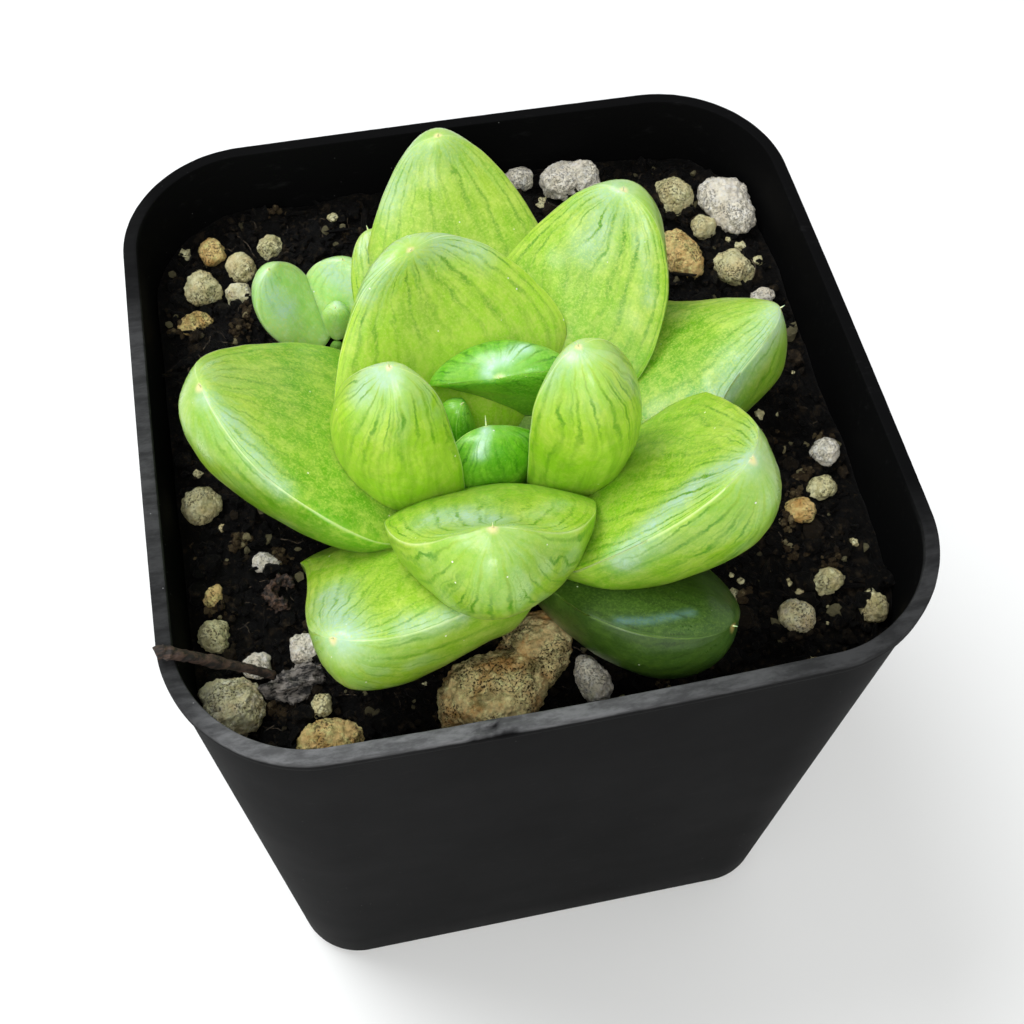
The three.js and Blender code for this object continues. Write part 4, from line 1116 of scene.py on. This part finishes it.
def leaf_piece(leaf, looks):
    """A leaf from a ball: its meridians run from root to tip, and its seam lies in one margin."""
    share = 2 if leaf.size[0] < SMALL_LEAF else 3
    clear_selection()
    bpy.ops.mesh.primitive_uv_sphere_add(segments=looks.sides * share // 3,
                                         ring_count=looks.rings * share // 3, radius=1.0, calc_uvs=True)
    piece = named(leaf.name + "_blade")
    mesh = piece.data
    v = 1 - np.arccos(np.clip(places(mesh)[:, 2], -1, 1)) / math.pi
    around = np.zeros(len(v))
    round_uv = mesh.uv_layers["UVMap"]
    for corner in mesh.loops:
        around[corner.vertex_index] = TAU * (round_uv.data[corner.index].uv[0] % 1.0)
    points = leaf.surface(np.sin(v * math.pi / 2), around)
    move_to(mesh, points * MM)
    count = max(8, round(looks.vein_count * min(1.0, 0.45 + leaf.size[1] / 18)))
    shift = Vector((leaf.heading * 0.13, leaf.size[0], leaf.up))

    def vein_at(u, v):
        """Where a place lies among the veins, counted round the leaf, with their swerve."""
        a = TAU * u
        spot = Vector((math.cos(a) * 1.1, math.sin(a) * 1.1, v * 2.6)) + shift
        return u * count + (0.55 * noise.noise(spot) + 0.3 * noise.noise(spot * 2.7))

    veins_uv = mesh.uv_layers.new(name="Veins")
    round_uv = mesh.uv_layers["UVMap"]
    for corner in mesh.loops:
        u, along = round_uv.data[corner.index].uv
        veins_uv.data[corner.index].uv = (vein_at(u, along), 1 - along)
    # soft swell, and furrows over the veins of the upper half of the length
    normals = [vertex.normal.copy() for vertex in mesh.vertices]
    for vertex, normal, a, along in zip(mesh.vertices, normals, around, v):
        p = vertex.co / MM
        phase = vein_at(a / TAU, along) % 1.0 - 0.5
        near = math.exp(-((phase / 0.2) ** 2))
        reach = math.sin(min(1.0, max(0.0, (1 - along) / 0.55)) * math.pi) if along > 0.45 else 0.0
        swell = noise.noise(p * 0.16 + shift) + 0.5 * noise.noise(p * 0.4 + shift)
        fade = min(1.0, (1 - along) * 9)
        vertex.co += normal * (looks.swell * swell * fade - looks.furrow * near * reach * fade)
    mesh.update()
    # strength of the pale bands, partly clear skin and partly painted highlight, for each point
    glow = mesh.attributes.new("Clear skin glint", "FLOAT", "POINT")
    glow.data.foreach_set("value", band_glow(leaf, points).astype(np.float32))
    make_active(piece)
    bpy.ops.object.shade_smooth()
    return piece


def band_glow(leaf, points):
    """How strongly each point of a leaf, in millimetres, lies in one of its pale bands of clear skin and
    painted highlight.
    """
    glow = np.zeros(len(points))
    for line, width, strength in CLEAR_SKIN_GLINTS.get(leaf.name, []):
        around, along = [], []
        for (a, b), (c, d) in zip(line, line[1:]):
            turn = (c - a + 0.5) % 1.0 - 0.5
            for i in range(13):
                around.append(a + turn * i / 12)
                along.append(b + (d - b) * i / 12)
        path = leaf.surface(np.sin(np.array(along) * math.pi / 2), np.array(around) * TAU)
        far = np.min(np.linalg.norm(points[:, None] - path[None], axis=2), axis=1)
        glow = np.maximum(glow, strength * np.exp(-(far / width) ** 2))
    return glow


def bristle_path(leaf):
    """A short, slightly bent bristle that grows from the leaf's tip."""
    _, place, along, side = leaf.midrib()
    ahead, tip = Vector(along[-1]), Vector(place[-1])
    up = Vector(np.cross(along[-1], side[-1]))
    path = []
    for i in range(BRISTLE_STEPS + 1):
        share = i / BRISTLE_STEPS
        spot = tip + ahead * (leaf.bristle * (share * 1.15 - 0.2)) + up * (0.25 * leaf.bristle * share ** 2)
        path.append((spot, 0.09 * (1 - share) ** 0.8 + 0.012))
    return path


class MESH_OT_haworthia_leaves(bpy.types.Operator):
    """All the leaves of the rosette and of its offset, with their tip bristles"""
    bl_idname = "mesh.haworthia_leaves"
    bl_label = "Leaves"

    def execute(self, context):
        looks = context.scene.haworthia_leaves
        leaf_markings_group()
        skins = {
            "bright": leaf_material("leaf_skin", looks, 1.0, 0.85, belly=0.25),
            # painted light: lighter flesh and root end, standing in for light that shines through the leaves
            # into the rosette's shaded middle
            "inner": leaf_material("leaf_skin_inner_painted_light", looks, 0.85, 0.8, flesh=srgb(160, 206, 40),
                                   root=srgb(164, 216, 40)),
            "faint": leaf_material("leaf_skin_faint", looks, 0.65, 0.85, belly=0.25),
            # painted shade: a darker root end reaching further up, for leaves whose lower parts lie in the
            # shade of the leaves over them
            "low": leaf_material("leaf_skin_low_painted_shade", looks, 0.65, 0.85, belly=0.3, root_from=(0.26, 0.6),
                                 root=srgb(104, 172, 16)),
            "offset": leaf_material("offset_skin", looks, 0.3, 0.9, flesh=srgb(164, 220, 118),
                                    pale=srgb(212, 238, 182), root=srgb(166, 220, 100),
                                    margin=srgb(216, 240, 200)),
            "heart": leaf_material(
                "heart_skin", looks, 0.95, 0.6, 0.35, flesh=looks.heart_flesh, pale=srgb(166, 222, 70),
                root=srgb(104, 184, 20), vein=srgb(58, 136, 8), network=srgb(190, 226, 110),
                window=srgb(160, 214, 130), window_deep=srgb(108, 180, 50), margin=srgb(196, 232, 130),
                glow=srgb(206, 238, 228), tip=srgb(214, 238, 160)),
            # painted shade: a darker copy of the skin for the lowest front leaf, which lies in the shade of
            # the leaves over it
            "shaded": leaf_material(
                "shaded_skin", looks, 0.6, 0.5, 0.12, flesh=looks.shaded_flesh, pale=srgb(78, 108, 34),
                root=srgb(36, 62, 14), vein=srgb(30, 54, 14), network=srgb(96, 124, 50),
                window=srgb(70, 104, 50), window_deep=srgb(40, 66, 24), margin=srgb(96, 126, 50),
                glow=srgb(104, 140, 146), tip=srgb(180, 160, 96)),
        }
        for leaf in LEAVES:
            finish_piece(leaf_piece(leaf, looks), skins[leaf.skin], leaf.slot, leaf.name)
        horn, n, shader, where = new_material("bristle_horn")
        n.fill(shader, Base_Color=n.mix(n.noise(where, 900.0), srgb(240, 240, 205), srgb(200, 220, 140)),
               Roughness=0.4, Subsurface_Weight=0.4, Subsurface_Scale=0.0004)
        finish_piece(strands("tip_bristles", [bristle_path(leaf) for leaf in LEAVES], 8), horn, "leaf")
        return {"FINISHED"}


def lamp(name, place, size, power, tint):
    """A round soft light that points at the plant."""
    light = bpy.data.lights.new(name, "AREA")
    light.shape = "DISK"
    light.size = size
    light.energy = power
    light.color = tint
    holder = bpy.data.objects.new(name, light)
    bpy.context.collection.objects.link(holder)
    aim = Vector((0, 0, 0.08)) - Vector(place)
    holder.matrix_world = Matrix.Translation(place) @ aim.to_track_quat("-Z", "Y").to_matrix().to_4x4()


class SCENE_OT_haworthia_stage(bpy.types.Operator):
    """Pale floor, soft studio light and the camera"""
    bl_idname = "scene.haworthia_stage"
    bl_label = "Stage"

    def execute(self, context):
        stage = context.scene.haworthia_stage
        clear_selection()
        bpy.ops.mesh.primitive_plane_add(size=6.0, location=(0, 0, -0.0002))
        floor = named("studio_floor")
        bpy.ops.object.transform_apply(location=True)
        floor.data.materials.append(stage_material("floor_paper", stage.floor))

        lamp("key_light", (-0.28, 0.26, 0.7), 0.42, stage.key, (0.95, 0.98, 1.0))
        lamp("front_light", (-0.14, -0.42, 0.74), 0.3, stage.front, (1.0, 1.0, 0.98))
        lamp("fill_light", (-0.35, -0.75, 0.5), 0.8, stage.fill, (1.0, 0.99, 0.97))

        world = bpy.data.worlds.new("studio")
        world.use_nodes = True
        Nodes(world.node_tree).fill(world.node_tree.nodes["Background"], Color=(0.97, 0.985, 1.0),
                                    Strength=stage.sky)
        context.scene.world = world

        camera = bpy.data.cameras.new("camera")
        camera.sensor_width = 36.0
        camera.lens = stage.lens
        camera.clip_start = 0.005
        camera.clip_end = 20.0
        holder = bpy.data.objects.new("camera", camera)
        context.collection.objects.link(holder)
        # turned about Z, raised and rolled, at a distance from the place that it looks at
        turn, rise, roll = (math.radians(a) for a in (-13.645, 59.196, 2.281))
        back = Vector((math.sin(turn) * math.cos(rise), -math.cos(turn) * math.cos(rise), math.sin(rise)))
        right = Vector((math.cos(turn), math.sin(turn), 0))
        up = back.cross(right)
        right, up = right * math.cos(roll) + up * math.sin(roll), up * math.cos(roll) - right * math.sin(roll)
        place = Vector((-2.585, -15.002, 80.0)) * MM + back * (124.22 * MM)
        columns = ((*right, 0), (*up, 0), (*back, 0), (*place, 1))
        holder.matrix_world = Matrix(columns).transposed()
        context.scene.camera = holder
        context.scene.view_settings.view_transform = "Standard"
        return {"FINISHED"}


class VIEW3D_PT_haworthia(bpy.types.Panel):
    """Sizes, colours and buttons of the potted haworthia"""
    bl_label = "Potted haworthia"
    bl_space_type = "VIEW_3D"
    bl_region_type = "UI"
    bl_category = "Haworthia"

    def draw(self, context):
        for operator in OPERATORS:
            self.layout.operator(operator.bl_idname)
        for group in GROUPS:
            box = self.layout.box()
            box.label(text=group.replace("_", " "))
            settings = getattr(context.scene, group)
            for key in settings.__annotations__:
                box.prop(settings, key)


GROUPS = {
    "haworthia_pot": PotSizes,
    "haworthia_leaves": LeafLooks,
    "haworthia_mix": MixLooks,
    "haworthia_stage": StageLooks,
}
OPERATORS = [
    MESH_OT_haworthia_pot, MESH_OT_haworthia_soil, MESH_OT_haworthia_crumbs, MESH_OT_haworthia_fibres,
    MESH_OT_haworthia_stones, MESH_OT_haworthia_debris, MESH_OT_haworthia_stem,
    MESH_OT_haworthia_leaves, SCENE_OT_haworthia_stage,
]


def register():
    for cls in (*GROUPS.values(), *OPERATORS, VIEW3D_PT_haworthia):
        bpy.utils.register_class(cls)
    for name, cls in GROUPS.items():
        setattr(bpy.types.Scene, name, PointerProperty(type=cls))


def unregister():
    for name in GROUPS:
        delattr(bpy.types.Scene, name)
    for cls in (VIEW3D_PT_haworthia, *OPERATORS, *GROUPS.values()):
        bpy.utils.unregister_class(cls)


def main():
    register()
    pumice_grain_group()
    bpy.ops.mesh.haworthia_pot()
    bpy.ops.mesh.haworthia_soil()
    bpy.ops.mesh.haworthia_crumbs()
    bpy.ops.mesh.haworthia_fibres()
    bpy.ops.mesh.haworthia_stones()
    bpy.ops.mesh.haworthia_debris()
    bpy.ops.mesh.haworthia_stem()
    bpy.ops.mesh.haworthia_leaves()
    bpy.ops.scene.haworthia_stage()


if __name__ == "__main__":
    main()
